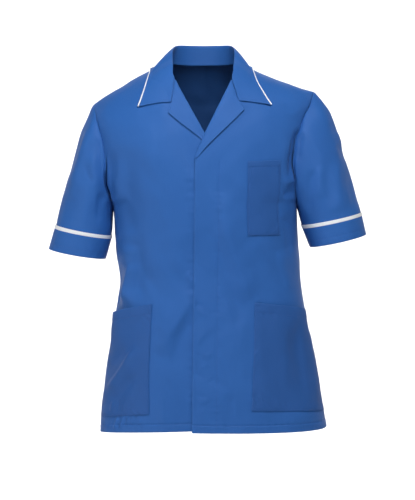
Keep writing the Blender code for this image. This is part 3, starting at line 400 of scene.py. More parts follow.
# Creases of the back, in metres: start, middle and end (x, z), width on each side, height.
CREASES_BACK = (
    (-0.052, -0.350, -0.066, -0.450, -0.092, -0.590, 0.0120, 0.0180, 0.0034),
    (-0.078, -0.330, -0.098, -0.430, -0.128, -0.530, 0.0150, 0.0110, -0.0030),
    (0.048, -0.340, 0.062, -0.440, 0.078, -0.610, 0.0170, 0.0110, 0.0036),
    (0.082, -0.350, 0.104, -0.420, 0.122, -0.560, 0.0110, 0.0150, -0.0028),
    (0.004, -0.380, -0.004, -0.470, 0.006, -0.590, 0.0160, 0.0120, -0.0030),
    (-0.020, -0.460, -0.026, -0.540, -0.018, -0.660, 0.0100, 0.0140, 0.0022),
    (-0.140, -0.180, -0.120, -0.220, -0.112, -0.290, 0.0130, 0.0160, -0.0026),
    (-0.124, -0.150, -0.096, -0.190, -0.086, -0.260, 0.0090, 0.0140, 0.0022),
    (0.142, -0.170, 0.126, -0.220, 0.116, -0.280, 0.0140, 0.0100, -0.0024),
    (0.118, -0.140, 0.098, -0.200, 0.092, -0.270, 0.0120, 0.0090, 0.0020),
    (-0.150, -0.320, -0.128, -0.380, -0.090, -0.440, 0.0090, 0.0130, 0.0030),
    (0.158, -0.330, 0.130, -0.385, 0.096, -0.430, 0.0110, 0.0090, 0.0026),
    (-0.150, -0.520, -0.158, -0.600, -0.150, -0.700, 0.0120, 0.0160, 0.0024),
    (0.150, -0.540, 0.156, -0.620, 0.172, -0.720, 0.0150, 0.0110, 0.0028),
    (0.106, -0.640, 0.112, -0.690, 0.108, -0.740, 0.0110, 0.0120, -0.0018),
    (-0.060, -0.060, 0.000, -0.072, 0.058, -0.062, 0.0100, 0.0140, 0.0012),
)
# The same for both sleeves behind.
CREASES_SLEEVE_BACK = (
    (0.206, -0.120, 0.212, -0.160, 0.210, -0.210, 0.0080, 0.0110, -0.0030),
    (0.236, -0.180, 0.242, -0.225, 0.236, -0.280, 0.0120, 0.0080, 0.0028),
    (0.264, -0.170, 0.268, -0.215, 0.274, -0.260, 0.0110, 0.0150, -0.0020),
    (-0.210, -0.150, -0.216, -0.200, -0.212, -0.250, 0.0110, 0.0080, -0.0030),
    (-0.236, -0.190, -0.246, -0.240, -0.244, -0.300, 0.0080, 0.0130, 0.0030),
    (-0.268, -0.210, -0.272, -0.250, -0.280, -0.300, 0.0150, 0.0100, -0.0018),
)

# Patch pockets: corners at the mouth (near, far) and at the base (far, near), gape at the far corner.
POCKET_LOWER_LEFT = ((0.0985, -0.4824), (0.2010, -0.4976), (0.2400, -0.7021), (0.0923, -0.6963), 0.004)
POCKET_LOWER_RIGHT = ((-0.1056, -0.4857), (-0.1795, -0.5061), (-0.2080, -0.7153), (-0.1113, -0.7041), 0.010)
POCKET_CHEST = ((0.0849, -0.2016), (0.1499, -0.1974), (0.1493, -0.3459), (0.0847, -0.3478), 0.0)


def hermite(t, start, leave, end, arrive, step=1.0):
    """Smooth curve between two values with a slope at each."""
    return ((1 + 2 * t) * (1 - t) ** 2 * start + t * (1 - t) ** 2 * step * leave
            + t * t * (3 - 2 * t) * end + t * t * (t - 1) * step * arrive)


def length_along(points):
    """Length along a line of points from its first."""
    return np.concatenate(((0.0,), np.cumsum(np.linalg.norm(np.diff(points, axis=0), axis=1))))


def unit(vectors):
    """Vectors brought to length one."""
    return vectors / np.linalg.norm(vectors, axis=-1, keepdims=True)


def through(xs, ys, at):
    """Smooth line through a short table, without overshoot."""
    xs = np.asarray(xs, dtype=float)
    ys = np.asarray(ys, dtype=float)
    step = np.diff(xs)
    slope = np.diff(ys) / step
    bend = np.zeros(len(xs))
    both = slope[:-1] * slope[1:]
    total = slope[:-1] + slope[1:]
    safe = np.where(both > 0, total, 1.0)
    bend[1:-1] = np.where(both > 0, 2.0 * both / safe, 0.0)
    bend[0] = slope[0]
    bend[-1] = slope[-1]
    at = np.clip(at, xs[0], xs[-1])
    i = np.clip(np.searchsorted(xs, at) - 1, 0, len(xs) - 2)
    t = (at - xs[i]) / step[i]
    return hermite(t, ys[i], bend[i], ys[i + 1], bend[i + 1], step[i])


def path(points, at):
    """Rounded curve through points, 0 to 1 along it."""
    points = np.asarray(points, dtype=float)
    knots = length_along(points)
    knots = knots / knots[-1]
    bend = np.gradient(points, knots, axis=0)
    at = np.clip(np.asarray(at, dtype=float), 0.0, 1.0)
    i = np.clip(np.searchsorted(knots, at) - 1, 0, len(points) - 2)
    step = knots[i + 1] - knots[i]
    t = ((at - knots[i]) / step)[..., None]
    step = step[..., None]
    return hermite(t, points[i], bend[i], points[i + 1], bend[i + 1], step)


def ease(value):
    """Soft step from 0 to 1."""
    value = np.clip(value, 0.0, 1.0)
    return value * value * (3.0 - 2.0 * value)


def half_width(left, q):
    """Half width of the body on one side at a height code."""
    rise = np.sin(np.clip(q, 0, 1) * math.pi / 2)
    z = np.where(q <= 0, CHEST_Z + q * LOW_RUN, CHEST_Z + (TIP_Z - CHEST_Z) * rise)
    right_half = through(BODY[:, 0], BODY[:, 1], z)
    left_half = through(BODY[:, 0], BODY[:, 2], z)
    return np.where(left, left_half, right_half)


def ridge_height(x):
    """Height of the shoulder line over a point."""
    right = through(RIDGE[:, 0], RIDGE[:, 1], np.abs(x))
    left = through(RIDGE[:, 0], RIDGE[:, 2], np.abs(x))
    return np.where(x >= 0, left, right)


def body(theta, q):
    """Point on the plain body for an angle round it and a height code."""
    theta = np.mod(np.asarray(theta, dtype=float) + math.pi, 2 * math.pi) - math.pi
    q = np.clip(np.asarray(q, dtype=float), -3.0, 1.0)
    theta, q = np.broadcast_arrays(theta, q)
    turn = np.clip(q, 0.0, 1.0) * math.pi / 2
    angle = np.abs(theta)
    behind = angle > math.pi / 2
    x = np.sign(theta) * half_width(theta >= 0, q) * np.abs(np.sin(angle)) ** ROUND
    low = CHEST_Z + q * LOW_RUN
    high = CHEST_Z + (ridge_height(x) - CHEST_Z) * np.sin(turn)
    z = np.where(q <= 0, low, high)
    level = np.minimum(low, CHEST_Z)
    depth = np.where(behind, through(BODY[:, 0], BODY[:, 4], level), -through(BODY[:, 0], BODY[:, 3], level))
    y = depth * np.abs(np.cos(angle)) ** ROUND
    calm_width = np.interp(np.clip(low, -0.336, CHEST_Z), CALM_WIDTH[0], CALM_WIDTH[1])
    calm_share = np.clip(np.abs(x) / calm_width, 0, 1) ** (2 / ROUND)
    calm_y = depth * np.maximum(1 - calm_share, 0) ** (ROUND / 2)
    keep = ease((np.abs(np.sin(angle)) ** ROUND - 0.78) / 0.2)
    keep = np.where((theta < 0) & (low > -0.336) & (q < 0), keep, 1.0)
    y = y * keep + calm_y * (1 - keep)
    y = np.where(q <= 0, y, RIDGE_Y + (y - RIDGE_Y) * np.cos(turn))
    y = y + np.where(behind, SEAM / 2, -SEAM / 2)
    return np.stack((x, y, z), axis=-1)


def crease_height(x, z, table):
    """Height of curved folds, each wider on one side than on the other."""
    lift = np.zeros(np.shape(x))
    t = np.linspace(0, 1, 13)[:, None]
    for x0, z0, xm, zm, x1, z1, near, far, height in table:
        start = np.array((x0, z0))
        end = np.array((x1, z1))
        handle = 2 * np.array((xm, zm)) - (start + end) / 2
        line = start * (1 - t) ** 2 + 2 * handle * t * (1 - t) + end * t ** 2
        reach = 2.6 * max(near, far)
        inside = (x > line[:, 0].min() - reach) & (x < line[:, 0].max() + reach)
        inside &= (z > line[:, 1].min() - reach) & (z < line[:, 1].max() + reach)
        if not inside.any():
            continue
        spot = np.stack((x[inside], z[inside]), axis=-1)
        best = np.full(len(spot), 1e9)
        side = np.zeros(len(spot))
        along = np.zeros(len(spot))
        for k in range(len(line) - 1):
            run = line[k + 1] - line[k]
            size = np.dot(run, run)
            off = spot - line[k]
            share = np.clip(off @ run / size, 0, 1)
            away = off - share[:, None] * run
            gap = np.linalg.norm(away, axis=1)
            closer = gap < best
            best = np.where(closer, gap, best)
            turn = run[0] * off[:, 1] - run[1] * off[:, 0]
            side = np.where(closer, turn, side)
            along = np.where(closer, (k + share) / (len(line) - 1), along)
        width = near + (far - near) * ease(0.5 + np.sign(side) * best / (near + far))
        fade = ease(along * 3.2 + 0.12) * ease((1 - along) * 3.2 + 0.12)
        lift[inside] += height * np.exp(-(best / width) ** 2) * fade
    return lift


def unevenness(point):
    """Slow, slight unevenness of worn cloth."""
    x, y, z = point[..., 0], point[..., 1], point[..., 2]
    a = x + 0.012 * np.sin(31 * z + 1.3) + 0.010 * np.sin(47 * y + 0.4)
    b = z + 0.014 * np.sin(27 * x + 2.1) + 0.008 * np.sin(53 * y + 1.9)
    wave = 0.00055 * np.sin(46 * a + 11 * b + 0.7) + 0.00045 * np.sin(71 * a - 23 * b + 2.9)
    wave = wave + 0.00040 * np.sin(19 * a + 58 * b + 1.1) + 0.00028 * np.sin(97 * a + 64 * b + 4.2)
    wave = wave + 0.00020 * np.sin(-83 * a + 118 * b + 0.2) + 0.00012 * np.sin(171 * a + 90 * b + 5.0)
    return wave


def fold_height(point, theta):
    """Height of the soft folds at a point."""
    behind = np.abs(theta) > math.pi / 2
    lift = np.zeros(point.shape[:-1])
    for back, x0, z0, x1, z1, width, height in FOLDS:
        run = np.array((x1 - x0, z1 - z0))
        length = np.linalg.norm(run)
        run = run / length
        dx = point[..., 0] - x0
        dz = point[..., 2] - z0
        along = (dx * run[0] + dz * run[1]) / length
        across = dx * run[1] - dz * run[0]
        fade = ease(along * 4 + 0.8) * ease((1 - along) * 4 + 0.8)
        ridge = np.exp(-(across / width) ** 2) * fade * height
        lift = lift + np.where(behind == (back > 0.5), ridge, 0.0)
    near_seam = np.abs(np.abs(theta) - math.pi / 2)
    lift = lift * ease(near_seam / 0.20)
    x, z = point[..., 0], point[..., 2]
    ahead = crease_height(x, z, CREASES_FRONT)
    rear = crease_height(x, z, CREASES_BACK)
    near = ease(near_seam / 0.06)
    calm = ease((0.03 - z) / 0.09)
    return lift + np.where(behind, rear, ahead) * near + unevenness(point) * near * calm


def surface(theta, q, lift=0.0):
    """Point on the cloth of the body, moved out by a lift."""
    given = [np.asarray(value, dtype=float) for value in (theta, q, lift)]
    theta, q, lift = np.broadcast_arrays(*given)
    tiny = 0.004
    point = body(theta, q)
    around = body(theta + tiny, q) - body(theta - tiny, q)
    up = body(theta, np.minimum(q + tiny, 1.0)) - body(theta, q - tiny)
    normal = np.cross(around, up)
    normal = unit(normal)
    total = fold_height(point, theta) + lift
    return point + normal * total[..., None]


def chart(x, z, behind=False):
    """Angle and height code of a point seen from the front or the back."""
    x = np.asarray(x, dtype=float)
    z = np.asarray(z, dtype=float)
    rise = np.clip((z - CHEST_Z) / (ridge_height(x) - CHEST_Z), 0.0, 1.0)
    q = np.where(z <= CHEST_Z, (z - CHEST_Z) / LOW_RUN, np.arcsin(rise) * 2 / math.pi)
    ratio = np.clip(np.abs(x) / half_width(x >= 0, q), 0.0, 1.0)
    theta = np.arcsin(ratio ** (1 / ROUND))
    theta = np.where(behind, math.pi - theta, theta)
    return np.where(x >= 0, theta, -theta), q


def chart_top(x, y):
    """Angle and height code of a point seen from above."""
    behind = y > RIDGE_Y
    theta = np.zeros_like(x)
    q = np.full_like(x, 0.7)
    for _ in range(12):
        ratio = np.clip(np.abs(x) / half_width(x >= 0, q), 0.0, 1.0)
        theta = np.arcsin(ratio ** (1 / ROUND))
        depth = np.where(behind, BODY[-1, 4], -BODY[-1, 3]) * np.cos(theta) ** ROUND
        share = np.clip((y - RIDGE_Y) / (depth - RIDGE_Y), 0.0, 1.0)
        q = np.arccos(share) * 2 / math.pi
    theta = np.where(behind, math.pi - theta, theta)
    return np.where(x >= 0, theta, -theta), q


def underlap(x, z):
    """Lift of the front that lies under, close to the middle."""
    deep = UNDERLAP_LOW + (UNDERLAP_TOP - UNDERLAP_LOW) * ease((z + 0.245) / 0.065)
    return -deep * ease((x - UNDERLAP_EDGE) / UNDERLAP_RUN)


def split_neck(left):
    """Neck seam as angle and height code: the back part, then the front part down to the gorge."""
    column = 1 if left else 0
    flat = path(np.stack((NECK[:, column], NECK[:, 2]), axis=1), np.linspace(0, 1, 241))
    cross_x = np.interp(-RIDGE_Y, -flat[:, 1], flat[:, 0])
    gorge_theta, gorge_q = chart(*(GORGE_LEFT[1] if left else GORGE_RIGHT[1]))
    parts = []
    for behind in (True, False):
        part = flat[flat[:, 1] > RIDGE_Y] if behind else flat[flat[:, 1] < RIDGE_Y]
        theta, q = chart_top(part[:, 0], part[:, 1])
        theta = np.abs(theta)
        top = np.array((cross_x,)), np.array((RIDGE_Y - 1e-9,))
        top_theta = np.abs(chart_top(*top)[0][0])
        if behind:
            theta = np.append(theta, math.pi - top_theta)
            q = np.append(q, 1.0)
        else:
            theta = np.concatenate(((top_theta,), theta, (abs(gorge_theta),)))
            q = np.concatenate(((1.0,), q, (gorge_q,)))
        side = 1.0 if left else -1.0
        point = body(side * np.minimum(theta, math.pi - 1e-6), q)
        run = length_along(point)
        at = np.linspace(0, run[-1], 81)
        parts.append((side * np.interp(at, run, theta), np.interp(at, run, q)))
    return parts


def armhole(v, left, behind):
    """Angle and height code of the armhole edge at a row."""
    column = 2 if behind else 1
    theta = np.radians(through(ARMHOLE[:, 0], ARMHOLE[:, column], v))
    turn = ARMHOLE_TURN_LEFT if left else ARMHOLE_TURN_RIGHT
    outward_turn = math.radians(turn) * ease((v - 0.80) / 0.20)
    theta = theta - outward_turn if behind else theta + outward_turn
    theta = np.maximum(theta, math.pi / 2 + 1e-6) if behind else theta
    q = through(ARMHOLE[:, 0], ARMHOLE[:, 3], v)
    return np.where(left, theta, -theta), q


def roll_line(left):
    """Break, crossing and gorge points of a roll line."""
    if left:
        return np.array((BREAK_LEFT, V_POINT, GORGE_LEFT[1]))
    return np.array((BREAK_RIGHT, V_POINT, GORGE_RIGHT[1]))


def front_inner(v, left):
    """Angle and height code along the inner edge of a front."""
    roll = roll_line(left)
    hem_x, arm_x = FRONT_EDGE_LEFT if left else FRONT_EDGE_RIGHT
    knots = np.array(ROW_MARKS[:5])
    xs = np.array((hem_x, arm_x, roll[0, 0], roll[1, 0], roll[2, 0]))
    low_z = HEM_Z + (HEM_FRONT_LEFT if left else HEM_FRONT_RIGHT)
    zs = np.array((low_z, CHEST_Z + ARMPIT_Q * LOW_RUN, roll[0, 1], roll[1, 1], roll[2, 1]))
    theta, q = chart(np.interp(v, knots, xs), np.interp(v, knots, zs))
    front_neck = split_neck(left)[1]
    share = np.clip((v - GORGE_V) / (1 - GORGE_V), 0, 1)
    spots = np.linspace(1, 0, len(front_neck[0]))
    neck_theta = np.interp(share, spots[::-1], front_neck[0][::-1])
    neck_q = np.interp(share, spots[::-1], front_neck[1][::-1])
    return np.where(v > GORGE_V, neck_theta, theta), np.where(v > GORGE_V, neck_q, q)


def side_edge(v, left, behind):
    """Side seam below the armpit and armhole above it."""
    theta, q = armhole(np.maximum(v, ARMPIT_V), left, behind)
    low_z = HEM_Z + (HEM_SIDE_LEFT if left else HEM_SIDE_RIGHT)
    z = np.interp(v, (0.0, ARMPIT_V), (low_z, CHEST_Z + ARMPIT_Q * LOW_RUN))
    low_q = (z - CHEST_Z) / LOW_RUN
    side = math.pi / 2 + (1e-6 if behind else 0.0)
    side = side if left else -side
    below = v < ARMPIT_V
    return np.where(below, side, theta), np.where(below, low_q, q)


def front_grid(left, rows, across, drop=0.0):
    """Points of a front, dropped below its outer face."""
    v = rows[:, None]
    theta0, q0 = front_inner(v, left)
    theta1, q1 = side_edge(v, left, False)
    theta = theta0 + (theta1 - theta0) * across
    q = q0 + (q1 - q0) * across
    if left:
        q = q - HEM_BOW_LEFT / LOW_RUN * 4 * across * (1 - across) * ease(1 - v / 0.25)
    point = surface(theta, q)
    lift = 0.0 if left else underlap(point[..., 0], point[..., 2])
    return surface(theta, q, lift - drop)


def back_half(left, rows, across):
    """Angle and height code of half the back, from the middle to the side."""
    theta_neck, q_neck = split_neck(left)[0]
    side_theta, side_q = side_edge(rows, left, True)
    middle_q = np.interp(rows, (0.0, ARMPIT_V, 1.0), ((HEM_Z - CHEST_Z) / LOW_RUN, ARMPIT_Q, q_neck[0]))
    neck_theta = np.abs(theta_neck)
    tip = abs(side_theta[-1])
    split = 0.42
    share = np.linspace(0, 1, len(neck_theta))
    top_theta = np.where(across < split, np.interp(across / split, share, neck_theta),
                         neck_theta[-1] + (tip - neck_theta[-1]) * (across - split) / (1 - split))
    top_q = np.where(across < split, np.interp(across / split, share, q_neck), 1.0)
    low_theta = math.pi - across * math.pi / 2
    theta = np.zeros((len(rows), len(across)))
    q = np.zeros((len(rows), len(across)))
    for i, v in enumerate(rows):
        up = max(0.0, (v - ARMPIT_V) / (1 - ARMPIT_V))
        base_theta = (1 - up) * low_theta + up * top_theta
        edge_theta = (1 - up) * low_theta[-1] + up * top_theta[-1]
        theta[i] = base_theta + across * (abs(side_theta[i]) - edge_theta)
        low_q = middle_q[i] if v <= ARMPIT_V else ARMPIT_Q
        base_q = (1 - up) * low_q + up * top_q
        edge_q = (1 - up) * low_q + up * top_q[-1]
        start_q = (1 - up) * low_q + up * top_q[0]
        q[i] = base_q + across * (side_q[i] - edge_q) + (1 - across) * (middle_q[i] - start_q)
    theta = np.minimum(theta, math.pi - 1e-6)
    return (theta if left else -theta), q


def back_grid(rows, across, drop=0.0):
    """Points of the back from the left side to the right, dropped below its outer face."""
    theta_left, q_left = back_half(True, rows, across)
    theta_right, q_right = back_half(False, rows, across)
    left = surface(theta_left, q_left, -drop)
    right = surface(theta_right, q_right, -drop)
    middle = (left[:, :1] + right[:, :1]) / 2
    return np.concatenate((left[:, :0:-1], middle, right[:, 1:]), axis=1)


def armhole_loop(left, count):
    """Armhole edge as a loop: tip, front, armpit, back; with the way out of the cloth."""
    rows = np.linspace(1.0, ARMPIT_V, 401)
    loops = []
    for behind in (False, True):
        theta, q = armhole(rows, left, behind)
        edge = surface(theta, q)
        inside = surface(theta * (0.97 if not behind else 1.03), q)
        normal = surface(theta, q, 0.001) - edge
        normal = unit(normal)
        along = np.gradient(edge, axis=0)
        along = unit(along)
        out = np.cross(along, normal)
        flip = np.sign(np.sum(out * (edge - inside), axis=1, keepdims=True))
        loops.append(np.concatenate((edge, out * flip, normal), axis=1))
    parts = []
    for loop in loops:
        run = length_along(loop[:, :3])
        at = np.linspace(0, run[-1], count // 2 + 1)
        parts.append(np.stack([np.interp(at, run, loop[:, k]) for k in range(9)], axis=1))
    return np.concatenate((parts[0][:-1], parts[1][::-1][:-1]))


def ring(spec, phi, inset=0.0, raised=0.0):
    """Ring round the arm: outer point at 0, front at a quarter turn."""
    outer = np.array((spec[0], RING_Y, spec[1]))
    inner = np.array((spec[2], RING_Y, spec[3]))
    middle = (outer + inner) / 2
    reach = (outer - inner) / 2
    length = np.linalg.norm(reach)
    reach = reach / length
    ahead = np.array((0.0, -RING_DEPTH, -RING_DIP)) / RING_DEPTH
    cosine = np.cos(phi)[:, None]
    sine = np.sin(phi)[:, None]
    point = middle + reach * (length - inset) * cosine + ahead * (RING_DEPTH - inset) * sine
    point[:, 2] += raised
    return point


def sleeve_grid(left, rows, count):
    """Outer points of a sleeve from the armhole to inside the cuff."""
    side = 1.0 if left else -1.0
    specs = RINGS_LEFT if left else RINGS_RIGHT
    line = SLEEVE_LINE_LEFT if left else SLEEVE_LINE_RIGHT
    phi = np.arange(count) / count * 2 * math.pi
    loop = armhole_loop(left, count)
    start = loop[:, :3] + loop[:, 3:6] * SLEEVE_OUT + loop[:, 6:9] * SLEEVE_UP
    inset = WALL + LAY
    end = ring(specs[0], phi, inset)
    after = ring(specs[2], phi, inset)
    axis = after - end
    axis = unit(axis)
    cosine = np.cos(phi)
    twice = np.cos(2 * phi)
    lead = np.stack((side * (0.6175 + 0.315 * cosine - 0.1825 * twice), -0.30 * np.sin(phi),
                     -0.69 + 0.17 * cosine - 0.14 * twice), axis=1)
    reach = np.linalg.norm(end - start, axis=1)[:, None]
    lead = lead / np.linalg.norm(lead, axis=1, keepdims=True) * reach * 0.75
    arrive = axis * reach * 0.75
    share = np.linspace(0, 1, rows + 1)[:, None, None]
    grid = hermite(share, start, lead, end, arrive)
    outer = np.array([(x, 0.004, z) for x, z in line])
    outer = np.concatenate((start[:1], outer, end[:1]))
    target = path(outer, np.linspace(0, 1, rows + 1))
    pull = np.maximum(cosine, 0.0) ** 1.5
    grid = grid + pull[None, :, None] * (target - grid[:, 0])[:, None, :]
    tail = np.stack((ring(specs[1], phi, inset), ring(specs[2], phi, inset, CUFF_CLEAR)))
    return np.concatenate((grid, tail))


def cuff_grid(left, rows, count, drop=0.0):
    """Points of a cuff, dropped below its outer face."""
    specs = RINGS_LEFT if left else RINGS_RIGHT
    phi = np.arange(count) / count * 2 * math.pi
    top = ring(specs[1], phi, drop)
    low = ring(specs[2], phi, drop)
    share = np.linspace(0, 1, rows + 1)[:, None, None]
    return top + (low - top) * share


def trim_grid(left, rows, count, drop=0.0):
    """Points of the tape above a cuff, dropped below its outer face."""
    specs = RINGS_LEFT if left else RINGS_RIGHT
    phi = np.arange(count) / count * 2 * math.pi
    top = ring(specs[0], phi, drop - TAPE_PROUD)
    low = ring(specs[1], phi, drop - TAPE_PROUD, SEAM + TAPE_PROUD)
    share = np.linspace(0, 1, rows + 1)[:, None, None]
    return top + (low - top) * share


def lapel_grid(left, rows, columns, drop=0.0):
    """Points of a lapel: inside leg, roll and turned-back leg, dropped below the outer face."""
    roll = roll_line(left)
    edge = np.array(LAPEL_EDGE_LEFT if left else LAPEL_EDGE_RIGHT)
    notch = np.array(GORGE_LEFT[0] if left else GORGE_RIGHT[0])
    r = np.concatenate((np.linspace(0, LAPEL_TIP, rows), np.linspace(LAPEL_TIP, 1, 13)[1:]))
    lengths = length_along(roll)
    lengths = lengths / lengths[-1]
    inner = np.stack((np.interp(r, lengths, roll[:, 0]), np.interp(r, lengths, roll[:, 1])), axis=1)
    outer = path(edge, np.minimum(r / LAPEL_TIP, 1.0))
    past = np.clip((r - LAPEL_TIP) / (1 - LAPEL_TIP), 0, 1)[:, None]
    outer = outer + (notch - edge[-1]) * past
    gap = (notch - roll[2]) / np.linalg.norm(notch - roll[2])
    side = np.array((gap[1], -gap[0]))
    side = side * (1 if side[0] * (1 if left else -1) < 0 else -1)
    shift = GORGE_CLEAR * np.clip((r - 0.9) / 0.1, 0, 1)[:, None] * side
    inner = inner + shift
    outer = outer + shift
    width = np.linalg.norm(outer - inner, axis=1)
    way = (outer - inner) / width[:, None]
    along = np.gradient(inner, axis=0)
    square = np.stack((along[:, 1], -along[:, 0]), axis=1)
    square = square / np.linalg.norm(square, axis=1, keepdims=True) * (1 if left else -1)
    radius = LAY + 1.5 * WALL
    turns = np.radians(np.linspace(-90.0, 90.0, 11))
    grid = np.zeros((len(r), 1 + len(turns) + columns, 3))
    for i in range(len(r)):
        hump = LAPEL_RISE * math.sin(math.pi * r[i]) if left else 0.0
        leg = min(HIDDEN_LEG, width[i] * 0.4)
        us = [leg]
        bent = radius - drop
        lifts = [-WALL / 2 - bent]
        for turn in turns:
            us.append(-math.cos(turn) * bent)
            lifts.append(-WALL / 2 + math.sin(turn) * bent)
        for k in range(1, columns + 1):
            share = k / columns
            u = share ** 1.25 * width[i]
            us.append(u)
            swell = u / RISE_RUN * math.exp(1 - u / RISE_RUN)
            from_end = min(r[i] / LAPEL_TIP, (1 - r[i]) / (1 - LAPEL_TIP))
            free = LAPEL_EDGE_LIFT * share ** 4 * math.sin(math.pi / 2 * from_end) ** 0.5
            lifts.append(LAY + WALL + hump * swell + free - drop)
        us = np.array(us)
        lifts = np.array(lifts)
        turned = np.arange(len(us)) <= len(turns)
        flat = inner[i] + np.where(turned[:, None], square[i], way[i]) * us[:, None]
        theta, q = chart(flat[:, 0], flat[:, 1])
        if not left:
            lifts = lifts + underlap(flat[:, 0], flat[:, 1])
        grid[i] = surface(theta, q, lifts)
    return grid


def grid_tree(grid):
    """Search tree of the outer face of a piece."""
    nr, nc = grid.shape[:2]
    points = [Vector(p) for p in grid.reshape(-1, 3)]
    faces = []
    for i in range(nr - 1):
        for j in range(nc - 1):
            a = i * nc + j
            faces.append((a, a + 1, a + nc + 1, a + nc))
    return BVHTree.FromPolygons(points, faces)


def push_out(point, trees, centre, need):
    """Move a point out until it clears the body, rolling round its free edges."""
    spot = Vector(point)
    for _ in range(4):
        best = min((tree.find_nearest(spot) for tree in trees), key=lambda found: found[3])
        normal = best[1]
        if normal.dot(best[0] - centre) < 0:
            normal = -normal
        away = spot - best[0]
        height = away.dot(normal)
        beside = away.length_squared - height * height
        target = math.sqrt(max(need * need - beside, 0.0))
        if height >= target - 1e-6:
            break
        spot = spot + normal * (target - height)
    return np.array(spot)


def bezier(a, b, c, d, t):
    """Curve with two handles."""
    t = t[:, None]
    return a * (1 - t) ** 3 + 3 * b * t * (1 - t) ** 2 + 3 * c * t ** 2 * (1 - t) + d * t ** 3


def collar_guides(left):
    """Neck seam, fold and outer edge of half the collar."""
    column = 1 if left else 0
    gorge = np.array(GORGE_LEFT if left else GORGE_RIGHT)
    edge_x = COLLAR_EDGE[:, 2 if left else 0]
    edge_z = COLLAR_EDGE[:, 3 if left else 1]
    theta, q = chart(edge_x, edge_z, COLLAR_EDGE[:, 4] > 0.5)
    outer = surface(theta, q, LAY + WALL)
    theta, q = chart_top(NECK[:, column], NECK[:, 2])
    edge = body(theta, q)
    seam = surface(theta, q, -WALL)
    seam[:, 2] = np.minimum(edge[:, 2] - STAND_DROP, STAND_LINE)
    inward = -seam * np.array((1.0, 1.0, 0.0))
    inward = unit(inward)
    seam = seam + inward * (WALL + SEAM + STAND_CLEAR)
    seam[-1] = surface(theta, q, LAY + WALL + END_RISE)[-1]
    fold = np.stack((COLLAR_FOLD[:, column], COLLAR_FOLD[:, 2], COLLAR_FOLD[:, 3]), axis=1)
    fold = np.concatenate((fold, seam[-1:]))
    line = gorge[1] + (gorge[0] - gorge[1]) * np.array((0.0, 0.5, 1.0))[:, None]
    push = (gorge[0] - gorge[1]) / np.linalg.norm(gorge[0] - gorge[1])
    push = np.array((-push[1], push[0])) * COLLAR_GORGE
    if push[0] * (1 if left else -1) < 0:
        push = -push
    theta, q = chart(line[:, 0] + push[0], line[:, 1] + push[1])
    ends = surface(theta, q, LAY + WALL)
    return np.concatenate((seam, ends)), np.concatenate((fold, ends)), outer


def collar_half(left, columns, rows, trees):
    """Outer points of half the collar from the middle of the back to the front end."""
    seam, fold, outer = collar_guides(left)
    knots = np.linspace(0, 1, len(seam))
    at = np.linspace(0, 1, columns + 1)

    def along(points):
        bend = np.gradient(points, knots, axis=0)
        bend[0, 1:] = 0.0
        i = np.clip(np.searchsorted(knots, at) - 1, 0, len(knots) - 2)
        step = (knots[i + 1] - knots[i])[:, None]
        t = ((at - knots[i]) / (knots[i + 1] - knots[i]))[:, None]
        return hermite(t, points[i], bend[i], points[i + 1], bend[i + 1], step)

    low = along(seam)
    top = along(fold)
    end = along(outer)
    centre = Vector(BODY_CENTRE)
    grid = np.zeros((columns + 1, rows + 1, 3))
    fine = np.linspace(0, 1, 41)
    for i in range(columns + 1):
        stand = np.linalg.norm(top[i] - low[i])
        out = end[i] - top[i]
        fall = np.linalg.norm(out)
        flat_out = out * np.array((1, 1, 0.15))
        flat_out = flat_out / np.linalg.norm(flat_out)
        turn = min(FOLD_TURN, stand * 0.45)
        rise = (top[i] - low[i]) * 0.55
        first = bezier(low[i], low[i] + rise, top[i] - flat_out * turn, top[i], fine)
        settle = np.array((out[0], out[1], min(out[2] * 1.6, -0.2 * fall)))
        settle = settle / np.linalg.norm(settle)
        leave = top[i] + flat_out * (turn + 0.03 * fall)
        second = bezier(top[i], leave, end[i] - settle * fall * 0.35, end[i], fine)
        line = np.concatenate((first[:-1], second)) if stand > LEAST_STAND else second
        run = length_along(line)
        at_fold = run[len(fine) - 1] if stand > LEAST_STAND else 0.0
        weight = 1.0 + 2.5 * np.exp(-((run - at_fold) / 0.007) ** 2)
        gather = np.concatenate(((0.0,), np.cumsum((weight[1:] + weight[:-1]) / 2 * np.diff(run))))
        spots = np.linspace(0, gather[-1], rows + 1)
        points = np.stack([np.interp(spots, gather, line[:, k]) for k in range(3)], axis=1)
        reached = np.interp(spots, gather, run)
        for j in range(rows + 1):
            if reached[j] >= at_fold or stand <= LEAST_STAND:
                fallen = (reached[j] - at_fold) / (run[-1] - at_fold)
                free = COLLAR_EDGE_LIFT * fallen ** 3
                points[j] = push_out(points[j], trees, centre, LAY + WALL + COLLAR_CLEAR + free)
        grid[i] = points
    return grid


def collar_grid(columns, rows, trees):
    """Outer points of the whole collar, right end to left end."""
    right = collar_half(False, columns, rows, trees)
    left = collar_half(True, columns, rows, trees)
    middle = (right[:1] + left[:1]) / 2
    return np.concatenate((right[:0:-1], middle, left[1:]))


def pocket_grid(corners, rows, columns, tree):
    """Outer points of a patch pocket, mouth first, clear of its panel."""
    near, far, far_low, near_low, gape = corners
    down = np.linspace(0, 1, rows + 1)[:, None]
    across = np.linspace(0, 1, columns + 1)[None, :]
    theta, q = chart(np.array((near[0], far[0], far_low[0], near_low[0])),
                     np.array((near[1], far[1], far_low[1], near_low[1])))
    top_t = theta[0] + (theta[1] - theta[0]) * across
    low_t = theta[3] + (theta[2] - theta[3]) * across
    top_q = q[0] + (q[1] - q[0]) * across
    low_q = q[3] + (q[2] - q[3]) * across
    lift = LAY + WALL + gape * (1 - ease(down * 2.2)) * ease(across * 1.2) * ease((1 - across) * 8 + 0.25)
    grid = surface(top_t + (low_t - top_t) * down, top_q + (low_q - top_q) * down, lift)
    centre = Vector((0.0, 0.0, float(grid[..., 2].mean())))
    need = LAY + WALL + POCKET_CLEAR
    return np.array([[push_out(p, [tree], centre, need) for p in row] for row in grid])


